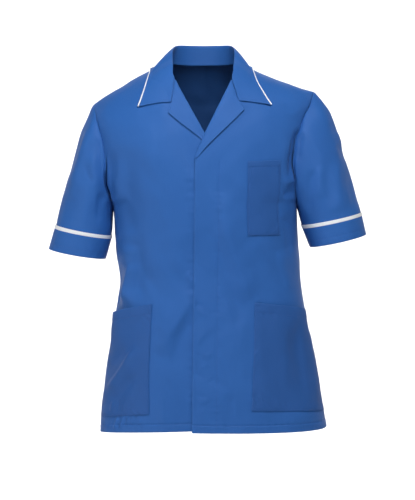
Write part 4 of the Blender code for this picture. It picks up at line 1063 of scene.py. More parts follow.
def positions(count, spots=(), width=0.01, gain=4.0):
    """Steps from 0 to 1, closer together near some spots."""
    fine = np.linspace(0, 1, 4001)
    weight = np.ones_like(fine)
    for spot in spots:
        weight += gain * np.exp(-((fine - spot) / width) ** 2)
    total = np.concatenate(((0.0,), np.cumsum((weight[1:] + weight[:-1]) / 2)))
    return np.interp(np.linspace(0, total[-1], count + 1), total, fine)


def way_round(grid, ring_round):
    """Normal of each point of a grid, unsigned."""
    down = np.gradient(grid, axis=0)
    across = np.roll(grid, -1, axis=1) - np.roll(grid, 1, axis=1) if ring_round else np.gradient(grid, axis=1)
    normal = np.cross(across, down)
    return normal / np.maximum(np.linalg.norm(normal, axis=-1, keepdims=True), 1e-12)


def outward(grid, ring_round, part=slice(None)):
    """Normals that point away from the hollow."""
    normal = way_round(grid, ring_round)
    middle = grid.mean(axis=(0, 1)) if ring_round else np.array(BODY_CENTRE)
    away = grid - middle
    away[..., 2] *= 0.0 if not ring_round else 1.0
    flip = np.sign(np.sum((away * normal)[:, part]))
    return normal * flip


def run_down(grid):
    """Length down each column from the first row."""
    step = np.linalg.norm(np.diff(grid, axis=0), axis=2)
    return np.concatenate((np.zeros((1, grid.shape[1])), np.cumsum(step, axis=0)))


def run_across(grid):
    """Length along each row from the first column."""
    step = np.linalg.norm(np.diff(grid, axis=1), axis=2)
    return np.concatenate((np.zeros((grid.shape[0], 1)), np.cumsum(step, axis=1)), axis=1)


def groove(distance, width=0.0013, depth=0.0004):
    """Soft trough along a line of sewing."""
    return -depth * np.exp(-(distance / width) ** 2)


def gather(distance, along, seed, size=0.00035, reach=0.007):
    """Uneven small puckers beside a line of sewing."""
    wave = np.sin(along * 410 + seed + 1.7 * np.sin(along * 57 + seed * 2))
    wave = wave * (0.55 + 0.45 * np.sin(along * 33 + seed * 3))
    wave = wave + 0.5 * np.sin(along * 263 + seed * 5 + 1.1 * np.sin(along * 91))
    return size * wave * np.exp(-(distance / reach) ** 2)


def near_edge(distance, depth=0.0007, width=0.0030):
    """Dip of the cloth towards a seam."""
    return -depth * (1 - ease(distance / width))


def cell_faces(first, second, flip=False):
    """Faces between two rows of point numbers."""
    strip = np.stack((first[:-1], first[1:], second[1:], second[:-1]), axis=1)
    return strip[:, ::-1] if flip else strip

def store_grain(mesh, grain):
    """Keep the length across and down the cloth at each point, and its wear at the edges with the painted
    shade of its inner face.
    """
    store = mesh.attributes.new("grain", "FLOAT_VECTOR", "POINT")
    store.data.foreach_set("vector", grain.reshape(-1))


def add_object(name, data):
    """New object in the scene."""
    item = bpy.data.objects.new(name, data)
    bpy.context.scene.collection.objects.link(item)
    return item


def fine_shell(name, outer, inner, material, node=None, ring_round=False):
    """Closed cloth shell with a rounded edge."""
    nr, nc = outer.shape[:2]
    number = np.arange(nr * nc).reshape(nr, nc)
    wide = np.concatenate((number, number[:, :1]), axis=1) if ring_round else number
    half = nr * nc
    quads = np.stack((wide[:-1, :-1], wide[:-1, 1:], wide[1:, 1:], wide[1:, :-1]), axis=-1).reshape(-1, 4)
    faces = [quads, (quads + half)[:, ::-1]]
    points = [outer.reshape(-1, 3), inner.reshape(-1, 3)]
    fresh = 2 * half
    if ring_round:
        loops = [(wide[0], wide[1]), (wide[-1][::-1], wide[-2][::-1])]
    else:
        loop = np.concatenate((number[0], number[1:, -1], number[-1, -2::-1],
                               number[-2:0:-1, 0], number[:1, 0]))
        second = np.concatenate((number[1], number[1:, -2], number[-2, -2::-1],
                                 number[-2:0:-1, 1], number[1:2, 0]))
        loops = [(loop, second)]
    flat = outer.reshape(-1, 3)
    flat_in = inner.reshape(-1, 3)
    for loop, second in loops:
        edge = flat[loop[:-1]]
        under = flat_in[loop[:-1]]
        out = edge - flat[second[:-1]]
        out = out / np.maximum(np.linalg.norm(out, axis=1, keepdims=True), 1e-9)
        thick = np.linalg.norm(edge - under, axis=1, keepdims=True)
        points.append((edge + under) / 2 + out * thick * 0.32)
        ring_ids = np.append(np.arange(len(edge)), 0) + fresh
        fresh += len(edge)
        faces.append(cell_faces(ring_ids, loop))
        faces.append(cell_faces(loop + half, ring_ids))
    points = np.concatenate(points)
    faces = np.concatenate(faces)
    mesh = bpy.data.meshes.new(name)
    mesh.from_pydata(points.tolist(), [], faces.tolist())
    grain = np.zeros((len(points), 3), dtype=np.float32)
    laid = np.stack((run_across(outer), run_down(outer), np.zeros((nr, nc))), axis=-1).reshape(-1, 3)
    grain[:half] = laid
    grain[half:2 * half] = laid
    at = 2 * half
    for loop, second in loops:
        grain[at:at + len(loop) - 1] = laid[loop[:-1]]
        at += len(loop) - 1
    rim = np.concatenate([loop for loop, second in loops])
    # Wear at the edges is positive; the inner face is marked -1, which the material turns into painted shade.
    wear_and_inner_shade = np.zeros(len(points), dtype=np.float32)
    wear_and_inner_shade[rim] = 1.0
    wear_and_inner_shade[half:2 * half] = -1.0
    wear_and_inner_shade[rim + half] = 0.3
    wear_and_inner_shade[2 * half:] = 1.0
    grain[:, 2] = wear_and_inner_shade
    store_grain(mesh, grain)
    return place(name, mesh, material, node)


def place(name, mesh, material, node=None):
    """Put a mesh in the scene on the still body."""
    work = bmesh.new()
    work.from_mesh(mesh)
    bmesh.ops.recalc_face_normals(work, faces=work.faces)
    for face in work.faces:
        face.smooth = True
    work.to_mesh(mesh)
    work.free()
    item = add_object(name, mesh)
    mesh.materials.append(material)
    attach(item, "root")
    if node:
        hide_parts(node)
    return item


def on_grid(grid, i, j, ring_round=False):
    """Points at fractional rows and columns of a grid."""
    nr, nc = grid.shape[:2]
    i = np.clip(i, 0, nr - 1.0001)
    i0 = np.floor(i).astype(int)
    fi = (i - i0)[:, None]
    if ring_round:
        j = np.mod(j, nc)
        j0 = np.floor(j).astype(int) % nc
        j1 = (j0 + 1) % nc
    else:
        j = np.clip(j, 0, nc - 1.0001)
        j0 = np.floor(j).astype(int)
        j1 = j0 + 1
    fj = (j - np.floor(j))[:, None]
    top = grid[i0, j0] * (1 - fj) + grid[i0, j1] * fj
    low = grid[i0 + 1, j0] * (1 - fj) + grid[i0 + 1, j1] * fj
    return top * (1 - fi) + low * fi


def row_at(grid, distance, from_end=False):
    """Fractional row of each column at a length from the first or last row."""
    run = run_down(grid)
    rows = np.arange(grid.shape[0])
    found = np.zeros(grid.shape[1])
    for j in range(grid.shape[1]):
        length = run[-1, j] - distance if from_end else distance
        found[j] = np.interp(length, run[:, j], rows)
    return found


def column_at(grid, distance, from_end=False):
    """Fractional column of each row at a length from the first or last column."""
    return row_at(grid.transpose(1, 0, 2), distance, from_end)


def thread(name, lines, material, pitch=0.0031, thick=0.00026):
    """Sewn thread: short stitches, each dipping into the cloth, along lines of (points, normals)."""
    points = []
    faces = []
    sides = 5
    for spots, normals in lines:
        run = length_along(spots)
        count = int(run[-1] / pitch)
        if count < 1:
            continue
        for k in range(count):
            base = len(points)
            begin = (k + 0.12) * run[-1] / count
            end = (k + 0.88) * run[-1] / count
            at = np.linspace(begin, end, 4)
            line = np.stack([np.interp(at, run, spots[:, c]) for c in range(3)], axis=1)
            up = np.stack([np.interp(at, run, normals[:, c]) for c in range(3)], axis=1)
            up = unit(up)
            ahead = line[-1] - line[0]
            ahead = ahead / np.linalg.norm(ahead)
            beside = np.cross(up, ahead)
            lift = np.array((-0.00030, 0.00012, 0.00012, -0.00030))
            girth = np.array((0.5, 1.0, 1.0, 0.5)) * thick
            for m in range(4):
                middle = line[m] + up[m] * lift[m]
                for s in range(sides):
                    angle = 2 * math.pi * s / sides
                    points.append(middle + (beside[m] * math.cos(angle) + up[m] * math.sin(angle)) * girth[m])
            for m in range(3):
                for s in range(sides):
                    n = (s + 1) % sides
                    a = base + m * sides
                    faces.append((a + s, a + n, a + sides + n, a + sides + s))
            faces.append(tuple(base + s for s in range(sides))[::-1])
            faces.append(tuple(base + 3 * sides + s for s in range(sides)))
    mesh = bpy.data.meshes.new(name)
    mesh.from_pydata([tuple(p) for p in points], [], faces)
    return place(name, mesh, material)


def new_material(name):
    """Empty node material with its shader and helpers that add, fill and join nodes."""
    material = bpy.data.materials.new(name)
    material.use_nodes = True
    tree = material.node_tree
    shader = tree.nodes["Principled BSDF"]

    def node(kind, **values):
        item = tree.nodes.new(kind)
        for key, value in values.items():
            setattr(item, key, value)
        return item

    def put(value, socket):
        if isinstance(value, bpy.types.NodeSocket):
            tree.links.new(value, socket)
        else:
            socket.default_value = value

    def noise(scale, detail, vector=None):
        item = node("ShaderNodeTexNoise")
        item.inputs["Scale"].default_value = scale
        item.inputs["Detail"].default_value = detail
        if vector is not None:
            put(vector, item.inputs["Vector"])
        return item.outputs["Fac"]

    def mix(share, first, second):
        item = node("ShaderNodeMix", data_type="RGBA")
        put(share, item.inputs[0])
        put(first, item.inputs[6])
        put(second, item.inputs[7])
        return item.outputs[2]

    return material, shader, node, put, noise, mix


def darker(colour, share):
    """Colour dimmed to a share."""
    return [c * share for c in colour[:3]] + [1.0]


def cloth_material(name, mid, light, dark, pitch, rough, wear_gain, sheen):
    """Twill cloth: diagonal ribs, thread grain, slight fading, worn edges and an inner face darkened as
    painted shade.
    """
    material, shader, node, put, noise, mix = new_material(name)

    def maths(kind, a, b=None):
        item = node("ShaderNodeMath", operation=kind)
        put(a, item.inputs[0])
        if b is not None:
            put(b, item.inputs[1])
        return item.outputs[0]

    def clamp(value):
        item = node("ShaderNodeClamp")
        put(value, item.inputs["Value"])
        return item.outputs[0]

    def added(total, value, gain):
        return maths("ADD", total, maths("MULTIPLY", value, gain))

    def off_middle(value):
        return maths("SUBTRACT", value, 0.5)

    grain = node("ShaderNodeAttribute", attribute_name="grain")
    parts = node("ShaderNodeSeparateXYZ")
    put(grain.outputs["Vector"], parts.inputs[0])
    across, down, wear_and_inner_shade = parts.outputs
    spot = node("ShaderNodeTexCoord").outputs["Object"]
    slant = added(across, down, 0.85)
    rib = maths("SINE", maths("MULTIPLY", slant, 2 * math.pi / pitch))
    weft = maths("SINE", maths("MULTIPLY", down, 2 * math.pi / (pitch * 0.62)))
    warp = maths("SINE", maths("MULTIPLY", across, 2 * math.pi / (pitch * 0.55)))
    stretch = node("ShaderNodeCombineXYZ")
    put(maths("MULTIPLY", across, 420.0), stretch.inputs[0])
    put(maths("MULTIPLY", down, 42.0), stretch.inputs[1])
    fuzz = noise(900.0, 3.0, spot)
    slub = noise(1.0, 4.0, stretch.outputs[0])
    cloud = noise(7.0, 3.0, spot)

    height = added(maths("MULTIPLY", rib, 0.6), maths("MULTIPLY", warp, weft), 0.3)
    height = added(height, fuzz, 0.5)
    height = added(height, slub, 0.5)
    bump = node("ShaderNodeBump")
    bump.inputs["Strength"].default_value = 0.35
    bump.inputs["Distance"].default_value = 0.00012
    put(height, bump.inputs["Height"])
    put(bump.outputs["Normal"], shader.inputs["Normal"])

    share = added(0.62, off_middle(cloud), 0.9)
    share = added(share, off_middle(slub), 0.5)
    share = added(share, rib, 0.10)
    tone = mix(clamp(share), dark, mid)
    patch = maths("MULTIPLY", maths("MULTIPLY", wear_and_inner_shade, wear_gain), maths("ADD", 0.6, fuzz))
    worn = mix(patch, tone, light)
    # Painted shade: the inner face is darkened to stand in for the deep shade inside the neck opening.
    inside = clamp(maths("MULTIPLY", wear_and_inner_shade, -1.0))
    put(mix(inside, worn, darker(dark, 0.55)), shader.inputs["Base Color"])
    put(added(rough - 0.05, fuzz, 0.1), shader.inputs["Roughness"])
    shader.inputs["Sheen Weight"].default_value = sheen
    shader.inputs["Sheen Roughness"].default_value = 0.45
    shader.inputs["Specular IOR Level"].default_value = 0.30
    return material


def plain_material(name, colour, rough):
    """Floor or thread material with slight unevenness."""
    material, shader, node, put, noise, mix = new_material(name)
    put(mix(noise(60.0, 2.0), darker(colour, 0.96), colour), shader.inputs["Base Color"])
    shader.inputs["Roughness"].default_value = rough
    return material


# Colours of the cloth and of the white tape. The pocket colours are the same cloth darkened, as painted
# shade.
TWILL_MID = (0.0235, 0.128, 0.437, 1.0)
TWILL_LIGHT = (0.060, 0.205, 0.580, 1.0)
TWILL_DARK = (0.0180, 0.108, 0.387, 1.0)
# Painted shade: the pockets' cloth is darkened to stand in for the shade that falls on them.
POCKET_SHADED_MID = (0.0190, 0.102, 0.362, 1.0)
POCKET_SHADED_DARK = (0.0148, 0.087, 0.318, 1.0)
TAPE = (0.93, 0.94, 0.96, 1.0)
TAPE_LIGHT = (0.97, 0.97, 0.98, 1.0)
TAPE_DARK = (0.82, 0.84, 0.88, 1.0)
THREAD_BLUE = (0.010, 0.075, 0.320, 1.0)
THREAD_WHITE = (0.78, 0.80, 0.84, 1.0)
FLOOR_PALE = (0.80, 0.80, 0.80, 1.0)
# Distance between two ribs of the twill and of the tape.
TWILL_PITCH = 0.00085
TAPE_PITCH = 0.00110
twill = cloth_material("blue_twill", TWILL_MID, TWILL_LIGHT, TWILL_DARK, TWILL_PITCH, 0.62, 0.16, 0.03)
# The pockets are of the same cloth; their darker colours are painted shade.
pocket_twill_shaded = cloth_material("pocket_twill_shaded", POCKET_SHADED_MID, TWILL_LIGHT, POCKET_SHADED_DARK, TWILL_PITCH,
                              0.60, 0.14, 0.03)
tape = cloth_material("white_tape", TAPE, TAPE_LIGHT, TAPE_DARK, TAPE_PITCH, 0.75, 0.10, 0.2)
blue_thread = plain_material("blue_thread", THREAD_BLUE, 0.5)
white_thread = plain_material("white_thread", THREAD_WHITE, 0.5)

# Stitches: height above the hem and the cuff's edge, then the distance from the front edge, from the mouths
# of the lower pockets and the chest pocket, and from a pocket's edge.
HEM_UP = 0.0155
CUFF_UP = 0.0140
PLACKET = 0.048
POCKET_HEM = 0.019
CHEST_HEM = 0.0115
EDGE_SEW = 0.0022
# Rows of the tape that are sewn.
TAPE_ROWS = (1.4, 7.6)
# Top of the button stand's stitches and of its thickened edge.
STAND_TOP_Z = -0.190
STAND_SEW_Z = -0.196
# Height of the deep fold beside each armhole, right and left, and its reach up and down.
ARM_FOLD_Z = (-0.235, -0.180)
ARM_FOLD_REACH = 0.050
# Width of the tape's ribs and their lean.
TAPE_RIB = 0.0024
TAPE_LEAN = 0.0042
# Seam allowances: half width at side and shoulder, reach at the armhole, gap behind the panel and wall.
SIDE_ALLOWANCE = 0.008
SHOULDER_ALLOWANCE = 0.006
ARMHOLE_ALLOWANCE = 0.006
BEHIND = WALL + 0.0005
ALLOWANCE_WALL = 0.0006
# Rows and columns of the fine grids.
BODY_ROWS = 225
LAPEL_GRID = (150, 44)
COLLAR_GRID = (120, 56)
SLEEVE_GRID = (96, 176)
CUFF_GRID = (26, 240)
TAPE_GRID = (9, 480)
POCKET_GRID = (104, 84)

SIDES = ((False, "right"), (True, "left"))
panels = {}
threads = {}


def sew_line(distance, along, seed, width, depth, size=0.00035, reach=0.007):
    """Trough and puckers of a line of sewing."""
    return groove(distance, width, depth) + gather(distance, along, seed, size, reach)


def turned_hem(distance, height=0.0005):
    """Extra thickness of a hem below its stitches."""
    return height * (1 - ease((distance + 0.001) / 0.002))


def arm_fold(z, is_left):
    """Share of the deep fold beside an armhole at a height."""
    return np.exp(-((z - ARM_FOLD_Z[is_left]) / ARM_FOLD_REACH) ** 2)


def make_panel(name, grid, detail, material=twill, ring_round=False, kind="_cloth"):
    """Shell of a panel after its sewing detail, kept for the pieces that are sewn to it."""
    normal = outward(grid, ring_round)
    outer = grid + normal * detail[..., None]
    inner = outer - normal * WALL
    panels[name] = (outer, inner, normal)
    fine_shell(name + kind, outer, inner, material, name, ring_round)


def make_front(is_left, side, across_shares):
    """Front with its hem, side seam and the stitches of the button stand."""
    grid = front_grid(is_left, body_rows, across_shares[None, :])
    across = run_across(grid)
    up = run_down(grid)
    below = ease((STAND_TOP_Z - grid[..., 2]) / 0.02)
    seed = 1.0 if is_left else 2.6
    detail = sew_line(up - HEM_UP, across, seed, 0.0016, 0.0009)
    if is_left:
        detail += 0.0011 * np.exp(-across / 0.0045) * below
    detail += turned_hem(up - HEM_UP)
    deep = arm_fold(grid[..., 2], is_left)[:, -1:]
    detail += near_edge(across[:, -1:] - across, 0.0007 + 0.0024 * deep, 0.0030 + 0.0080 * deep)
    detail += near_edge(up[-1:] - up)
    detail += sew_line(across - PLACKET, up, seed + 1, 0.0016, 0.0008, 0.00045, 0.010) * below
    make_panel("front_" + side, grid, detail)


def make_back(across_shares):
    """Back with its hem and seams."""
    grid = back_grid(body_rows, across_shares)
    across = run_across(grid)
    up = run_down(grid)
    detail = sew_line(up - HEM_UP, across, 4.1, 0.0015, 0.0007)
    detail += turned_hem(up - HEM_UP)
    detail += near_edge(across) + near_edge(across[:, -1:] - across) + near_edge(up[-1:] - up)
    make_panel("back", grid, detail)


def make_lapel(is_left, side):
    """Lapel, turned back over its front."""
    outer = lapel_grid(is_left, *LAPEL_GRID)
    inner = lapel_grid(is_left, *LAPEL_GRID, WALL)
    panels["lapel_" + side] = (outer, inner, outward(outer, False, slice(-20, None)))
    fine_shell("lapel_" + side + "_cloth", outer, inner, twill, "lapel_" + side)


def make_collar():
    """Collar, thinner where it turns tightly, so that its inner face doesn't fold over."""
    outer = collar_grid(*COLLAR_GRID, trees)
    normal = outward(outer, False, slice(-8, None))
    turn = np.linalg.norm(np.gradient(normal, axis=1), axis=-1)
    step = np.linalg.norm(np.gradient(outer, axis=1), axis=-1)
    thick = np.minimum(WALL, 0.6 * step / np.maximum(turn, 1e-6))
    inner = outer - normal * thick[..., None]
    panels["collar"] = (outer, inner, normal)
    fine_shell("collar_cloth", outer, inner, twill, "collar")


def make_piping(edge, before, sides=12):
    """Rounded white strip along the outer edge of the collar, wider towards its tips."""
    along = unit(np.gradient(edge, axis=0))
    out = edge - before
    out = unit(out - along * np.sum(out * along, axis=1, keepdims=True))
    normal = np.cross(along, out)
    flip = 1.0 if np.dot(normal[0], np.array((0.0, -1.0, 0.0))) > 0 else -1.0
    past = length_along(edge)
    from_end = np.minimum(past, past[-1] - past)
    wide_at = (PIPING_WIDE * (0.86 - 0.34 * ease(from_end / 0.085)))[:, None]
    middle = edge + out * (wide_at + 0.0002) - normal * flip * WALL / 2
    centre = Vector(BODY_CENTRE)
    middle = np.array([push_out(p, trees, centre, PIPING_THICK + 0.0022) for p in middle])
    turn = np.linspace(0, 2 * math.pi, sides, endpoint=False)
    points = (middle[:, None] + out[:, None] * wide_at[:, None] * np.cos(turn)[None, :, None]
              + normal[:, None] * PIPING_THICK * np.sin(turn)[None, :, None])
    n = len(edge)
    number = np.arange(n * sides).reshape(n, sides)
    number = np.concatenate((number, number[:, :1]), axis=1)
    quads = np.stack((number[:-1, :-1], number[:-1, 1:], number[1:, 1:], number[1:, :-1]), axis=-1)
    quads = quads.reshape(-1, 4).tolist()
    quads.append(tuple(range(sides))[::-1])
    quads.append(tuple((n - 1) * sides + k for k in range(sides)))
    mesh = bpy.data.meshes.new("collar_piping_tape")
    mesh.from_pydata(points.reshape(-1, 3).tolist(), [], quads)
    grain = np.zeros((n, sides, 3), dtype=np.float32)
    grain[..., 0] = length_along(middle)[:, None]
    grain[..., 1] = turn[None, :] * 0.0015
    store_grain(mesh, grain)
    place("collar_piping_tape", mesh, tape, "collar_piping")


def make_sleeve(is_left, side):
    """Sleeve with its drag creases and the dip at the armhole."""
    grid = sleeve_grid(is_left, *SLEEVE_GRID)
    normal = outward(grid, True)
    up = run_down(grid)
    ahead = crease_height(grid[..., 0], grid[..., 2], CREASES_SLEEVE)
    rear = crease_height(grid[..., 0], grid[..., 2], CREASES_SLEEVE_BACK)
    front_share = ease(0.5 - normal[..., 1] * 1.2)
    low = ease((up[-3:-2] - up) / 0.030)
    detail = (ahead * front_share + rear * (1 - front_share)) * low * ease(up / 0.012)
    detail += unevenness(grid) * low * ease(up / 0.012)
    deep = arm_fold(grid[:1, :, 2], is_left) * (grid[:1, :, 1] < 0)
    detail += near_edge(up, 0.0007 + 0.0024 * deep, 0.0030 + 0.0060 * deep)
    make_panel("sleeve_" + side, grid, detail, ring_round=True)


def make_cuff(is_left, side):
    """Cuff with its line of stitches."""
    grid = cuff_grid(is_left, *CUFF_GRID)
    up = run_down(grid)
    seed = 3.3 if is_left else 0.8
    detail = sew_line(up[-1:] - up - CUFF_UP, run_across(grid), seed, 0.0013, 0.0003, 0.00025)
    make_panel("cuff_" + side, grid, detail, ring_round=True)


def make_trim(is_left, side):
    """White tape above a cuff, with leaning ribs."""
    grid = trim_grid(is_left, *TAPE_GRID)
    around = run_across(grid)
    ribs = around[:1, -1] / round(around[0, -1] / TAPE_RIB)
    detail = 0.00016 * np.sin(2 * math.pi * (around / ribs + run_down(grid) / TAPE_LEAN))
    make_panel("cuff_trim_" + side, grid, detail, tape, True, "_tape")


def make_pocket(name, corners, tree, hem, pucker, seed):
    """Patch pocket with its hemmed mouth and sewn edges."""
    grid = pocket_grid(corners, *POCKET_GRID, tree)
    down = run_down(grid)
    across = run_across(grid)
    to_edge = np.minimum(np.minimum(across, across[:, -1:] - across), down[-1:] - down)
    detail = sew_line(down - hem, across, seed, 0.0014, 0.0005, 0.00030)
    detail += turned_hem(down - hem, 0.00025)
    detail += groove(to_edge - EDGE_SEW, 0.0012, 0.0005)
    detail += gather(to_edge - EDGE_SEW, across + down, seed + 1, pucker, 0.008)
    # The pocket material is the body cloth darkened as painted shade.
    make_panel(name, grid, detail, pocket_twill_shaded)


def strip(name, edge, away, half):
    """Seam allowance behind an edge, closing the seam to light."""
    beside = unit(np.cross(np.gradient(edge, axis=0), away))
    offsets = np.array((-1.0, -0.5, 0.0, 0.5, 1.0)) * half
    grid = edge[:, None] + beside[:, None] * offsets[None, :, None]
    grid = grid - away[:, None] * BEHIND
    fine_shell(name, grid, grid - away[:, None] * ALLOWANCE_WALL, twill)


def armhole_strip(is_left, side):
    """Seam allowance behind an armhole, on both sides of the seam."""
    outer, _, normal = panels["sleeve_" + side]
    reach = row_at(outer, ARMHOLE_ALLOWANCE)
    columns = np.arange(outer.shape[1])
    out = armhole_loop(is_left, outer.shape[1])[:, 3:6]
    first = outer[0] - BEHIND * normal[0]
    rows = [first - out * ARMHOLE_ALLOWANCE, first - out * (ARMHOLE_ALLOWANCE / 2), first]
    for share in (0.5, 1.0):
        spots = on_grid(outer, reach * share, columns, True)
        rows.append(spots - on_grid(normal, reach * share, columns, True) * BEHIND)
    grid = np.stack(rows)
    under = grid - normal[:1] * ALLOWANCE_WALL
    fine_shell("seam_armhole_" + side, grid, under, twill, None, True)


def sewn(panel, lines, ring_round=False, material=blue_thread):
    """Rows of stitches on a panel, given as pairs of rows and columns."""
    outer, _, normal = panels[panel]
    made = []
    for i, j in lines:
        i, j = np.broadcast_arrays(np.asarray(i, dtype=float), np.asarray(j, dtype=float))
        made.append((on_grid(outer, i, j, ring_round), on_grid(normal, i, j, ring_round)))
    threads[panel] = thread("stitches_" + panel, made, material)


def hem_stitches(panel):
    """Rows and columns of the stitches above a hem."""
    outer = panels[panel][0]
    columns = np.arange(1, outer.shape[1] - 1)
    return row_at(outer, HEM_UP)[columns], columns


def stand_stitches():
    """Rows and columns of the stitches along the button stand."""
    outer = panels["front_left"][0]
    rows = np.nonzero(outer[:, 0, 2] < STAND_SEW_Z)[0]
    return rows, column_at(outer, PLACKET)[rows]


def pocket_stitches(name, hem):
    """Rows and columns of the stitches along both sides, the base and the mouth of a pocket."""
    outer = panels[name][0]
    rows = np.arange(1, outer.shape[0] - 2)
    columns = np.arange(2, outer.shape[1] - 2)
    return [
        (rows, column_at(outer, EDGE_SEW)[rows]),
        (rows, column_at(outer, EDGE_SEW, True)[rows]),
        (row_at(outer, EDGE_SEW, True)[columns], columns),
        (row_at(outer, hem)[columns], columns),
    ]


# Fronts and back, on rows that are closer together at the hem.
body_rows = positions(BODY_ROWS, (HEM_UP / 0.70, 0.002), 0.008, 3.0)
marks = np.array(ROW_MARKS)
body_rows = body_rows[np.abs(body_rows[:, None] - marks).min(axis=1) > 0.0016]
body_rows = np.unique(np.concatenate((body_rows, marks)))
front_across = (positions(165, (0.80,), 0.16, 1.6), positions(140, (0.19,), 0.10, 1.0))
for is_left, side in SIDES:
    make_front(is_left, side, front_across[is_left])
make_back(positions(76, (0.996,), 0.012, 2.5))
trees = [grid_tree(panels[name][0]) for name in ("back", "front_right", "front_left")]

for is_left, side in SIDES:
    make_lapel(is_left, side)
make_collar()
make_piping(panels["collar"][0][:, -1], panels["collar"][0][:, -2])
for is_left, side in SIDES:
    make_sleeve(is_left, side)
    make_cuff(is_left, side)
    make_trim(is_left, side)

# Pockets: name, corners, front below, hem at the mouth, puckers and their seed.
POCKETS = (
    ("pocket_lower_right", POCKET_LOWER_RIGHT, trees[1], POCKET_HEM, 0.00035, 5.2),
    ("pocket_lower_left", POCKET_LOWER_LEFT, trees[2], POCKET_HEM, 0.00035, 6.4),
    ("pocket_chest", POCKET_CHEST, trees[2], CHEST_HEM, 0.00012, 7.7),
)
for pocket in POCKETS:
    make_pocket(*pocket)

# Seam allowances inside.
for is_left, side in SIDES:
    outer, _, normal = panels["front_" + side]
    low = body_rows < ARMPIT_V - 0.004
    strip("seam_side_" + side, outer[low, -1], normal[low, -1], SIDE_ALLOWANCE)
    strip("seam_shoulder_" + side, outer[-1, :-1], normal[-1, :-1], SHOULDER_ALLOWANCE)
    armhole_strip(is_left, side)

# Stitches.
sewn("front_right", [hem_stitches("front_right")])
sewn("front_left", [hem_stitches("front_left"), stand_stitches()])
sewn("back", [hem_stitches("back")])
for name, corners, tree, hem, pucker, seed in POCKETS:
    sewn(name, pocket_stitches(name, hem))
for is_left, side in SIDES:
    outer = panels["cuff_" + side][0]
    columns = np.arange(outer.shape[1] + 1)
    sewn("cuff_" + side, [(row_at(outer, CUFF_UP, True)[columns % outer.shape[1]], columns)], True)
    columns = np.arange(0, panels["cuff_trim_" + side][0].shape[1] + 1, 2)
    sewn("cuff_trim_" + side, [(row, columns) for row in TAPE_ROWS], True, white_thread)

# Cut sizes of the cloth: width, length, area, how it is held and what it rests on.
SHEETS = {
    "back": (0.640, 0.830, 0.380, "hung", ()),
    "front_right": (0.350, 0.830, 0.200, "hung", ()),
    "front_left": (0.350, 0.830, 0.204, "hung", ()),
    "lapel_right": (0.074, 0.158, 0.0058, "folded", ("front_right",)),
    "lapel_left": (0.070, 0.185, 0.0072, "folded", ("front_left",)),
    "collar": (0.580, 0.116, 0.0442, "folded", ("back", "front_right", "front_left")),
    "sleeve_right": (0.480, 0.310, 0.0770, "hung", ("front_right", "back")),
    "sleeve_left": (0.480, 0.310, 0.0834, "hung", ("front_left", "back")),
    "cuff_right": (0.370, 0.0435, 0.0156, "hung", ("sleeve_right",)),
    "cuff_left": (0.378, 0.0410, 0.0148, "hung", ("sleeve_left",)),
    "cuff_trim_right": (0.383, 0.0100, 0.0026, "laid", ("sleeve_right",)),
    "cuff_trim_left": (0.396, 0.0100, 0.0026, "laid", ("sleeve_left",)),
    "pocket_lower_right": (0.142, 0.220, 0.0273, "laid", ("front_right",)),
    "pocket_lower_left": (0.192, 0.216, 0.0348, "laid", ("front_left",)),
    "pocket_chest": (0.074, 0.150, 0.01075, "laid", ("front_left",)),
}
# Pieces that go with a panel, besides its stitches.
GOING = {
    "back": ("seam_side_right", "seam_side_left", "seam_shoulder_right", "seam_shoulder_left"),
    "collar": ("collar_piping_tape",),
    "sleeve_right": ("seam_armhole_right",),
    "sleeve_left": ("seam_armhole_left",),
}
for node, (width, length, area, held, rests_on) in SHEETS.items():
    going = [threads[node]] if node in threads else []
    going += [bpy.data.objects[name] for name in GOING.get(node, ())]

# Round cove: height of the floor, where it starts to rise, radius and height of its turn's middle, and wall.
FLOOR_Z = -1.15
COVE_START = 5.2
COVE_TURN = 1.6
COVE_MIDDLE_Z = 0.45
COVE_WALL = 6.8
COVE_SIDES = 72
COVE_STEPS = 16


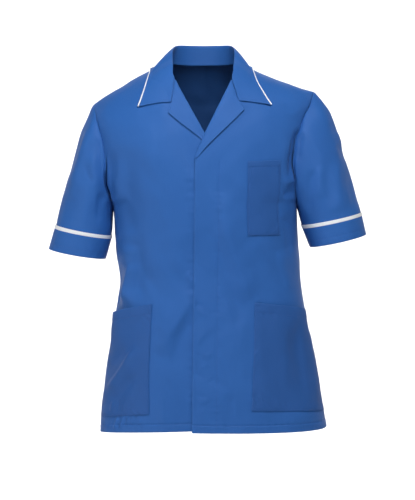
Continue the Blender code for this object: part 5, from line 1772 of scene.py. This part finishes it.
def make_cove():
    """Pale floor that rises into a round wall."""
    profile = [(2.0, FLOOR_Z), (4.0, FLOOR_Z), (COVE_START, FLOOR_Z)]
    for k in range(1, COVE_STEPS + 1):
        turn = k * math.pi / (2 * COVE_STEPS)
        profile.append((COVE_START + COVE_TURN * math.sin(turn), COVE_MIDDLE_Z - COVE_TURN * math.cos(turn)))
    profile += [(COVE_WALL, 3.0), (COVE_WALL, 6.0)]
    angles = [k * 2 * math.pi / COVE_SIDES for k in range(COVE_SIDES)]
    points = [(r * math.sin(angle), r * math.cos(angle), z) for r, z in profile for angle in angles]
    faces = []
    for i in range(len(profile) - 1):
        low = i * COVE_SIDES
        high = low + COVE_SIDES
        for k in range(COVE_SIDES):
            n = (k + 1) % COVE_SIDES
            faces.append((low + k, low + n, high + n, high + k))
    faces.append(tuple(range(COVE_SIDES))[::-1])
    mesh = bpy.data.meshes.new("floor")
    mesh.from_pydata(points, [], faces)
    for polygon in mesh.polygons:
        polygon.use_smooth = True
    mesh.materials.append(plain_material("pale_floor", FLOOR_PALE, 0.9))
    add_object("floor", mesh)


def area_light(name, spot, aim, size, power):
    """Square soft light aimed at a point."""
    data = bpy.data.lights.new(name, "AREA")
    data.shape = "SQUARE"
    data.size = size
    data.energy = power
    item = add_object(name, data)
    item.location = spot
    item.rotation_euler = (Vector(aim) - Vector(spot)).to_track_quat("-Z", "Y").to_euler()


make_cove()
# Lights: name, place, aim, size and power.
CHEST = (0.0, -0.10, -0.22)
LIGHTS = (
    ("key", (0.15, -1.3, 1.3), CHEST, 0.7, 29.0),
    ("front_right", (-1.4, -3.0, 0.9), CHEST, 1.0, 11.0),
    ("front_left", (1.4, -3.0, 0.9), CHEST, 1.0, 8.0),
    ("side_right", (-2.6, -1.7, -0.7), (-0.15, -0.10, -0.55), 1.1, 20.0),
    ("side_left", (3.0, -1.4, 0.3), CHEST, 1.5, 3.0),
    ("wall_right", (-1.6, 2.4, 2.0), (-0.8, 6.8, -0.6), 2.0, 125.0),
    ("wall_left", (1.6, 2.4, 2.0), (0.8, 6.8, -0.6), 2.0, 125.0),
    ("floor_wash", (0.0, 3.9, 2.6), (0.0, 4.3, -1.15), 2.0, 80.0),
)
for light in LIGHTS:
    area_light(*light)

# Faint sky and the colours as they are.
SKY = (0.80, 0.90, 1.0, 1.0)
SKY_STRENGTH = 0.02
world = bpy.data.worlds.new("studio")
bpy.context.scene.world = world
world.use_nodes = True
world.node_tree.nodes["Background"].inputs[0].default_value = SKY
world.node_tree.nodes["Background"].inputs[1].default_value = SKY_STRENGTH
bpy.context.scene.view_settings.view_transform = "Standard"

# Camera straight ahead of the tunic.
camera_data = bpy.data.cameras.new("camera")
camera_data.lens = 140.5
camera_data.sensor_width = 36.0
camera_data.clip_start = 0.05
camera_data.clip_end = 40.0
camera = add_object("camera", camera_data)
camera.location = (VIEW_MIDDLE[0], -VIEW_DISTANCE, VIEW_MIDDLE[1])
camera.rotation_euler = (math.pi / 2, 0.0, 0.0)
bpy.context.scene.camera = camera
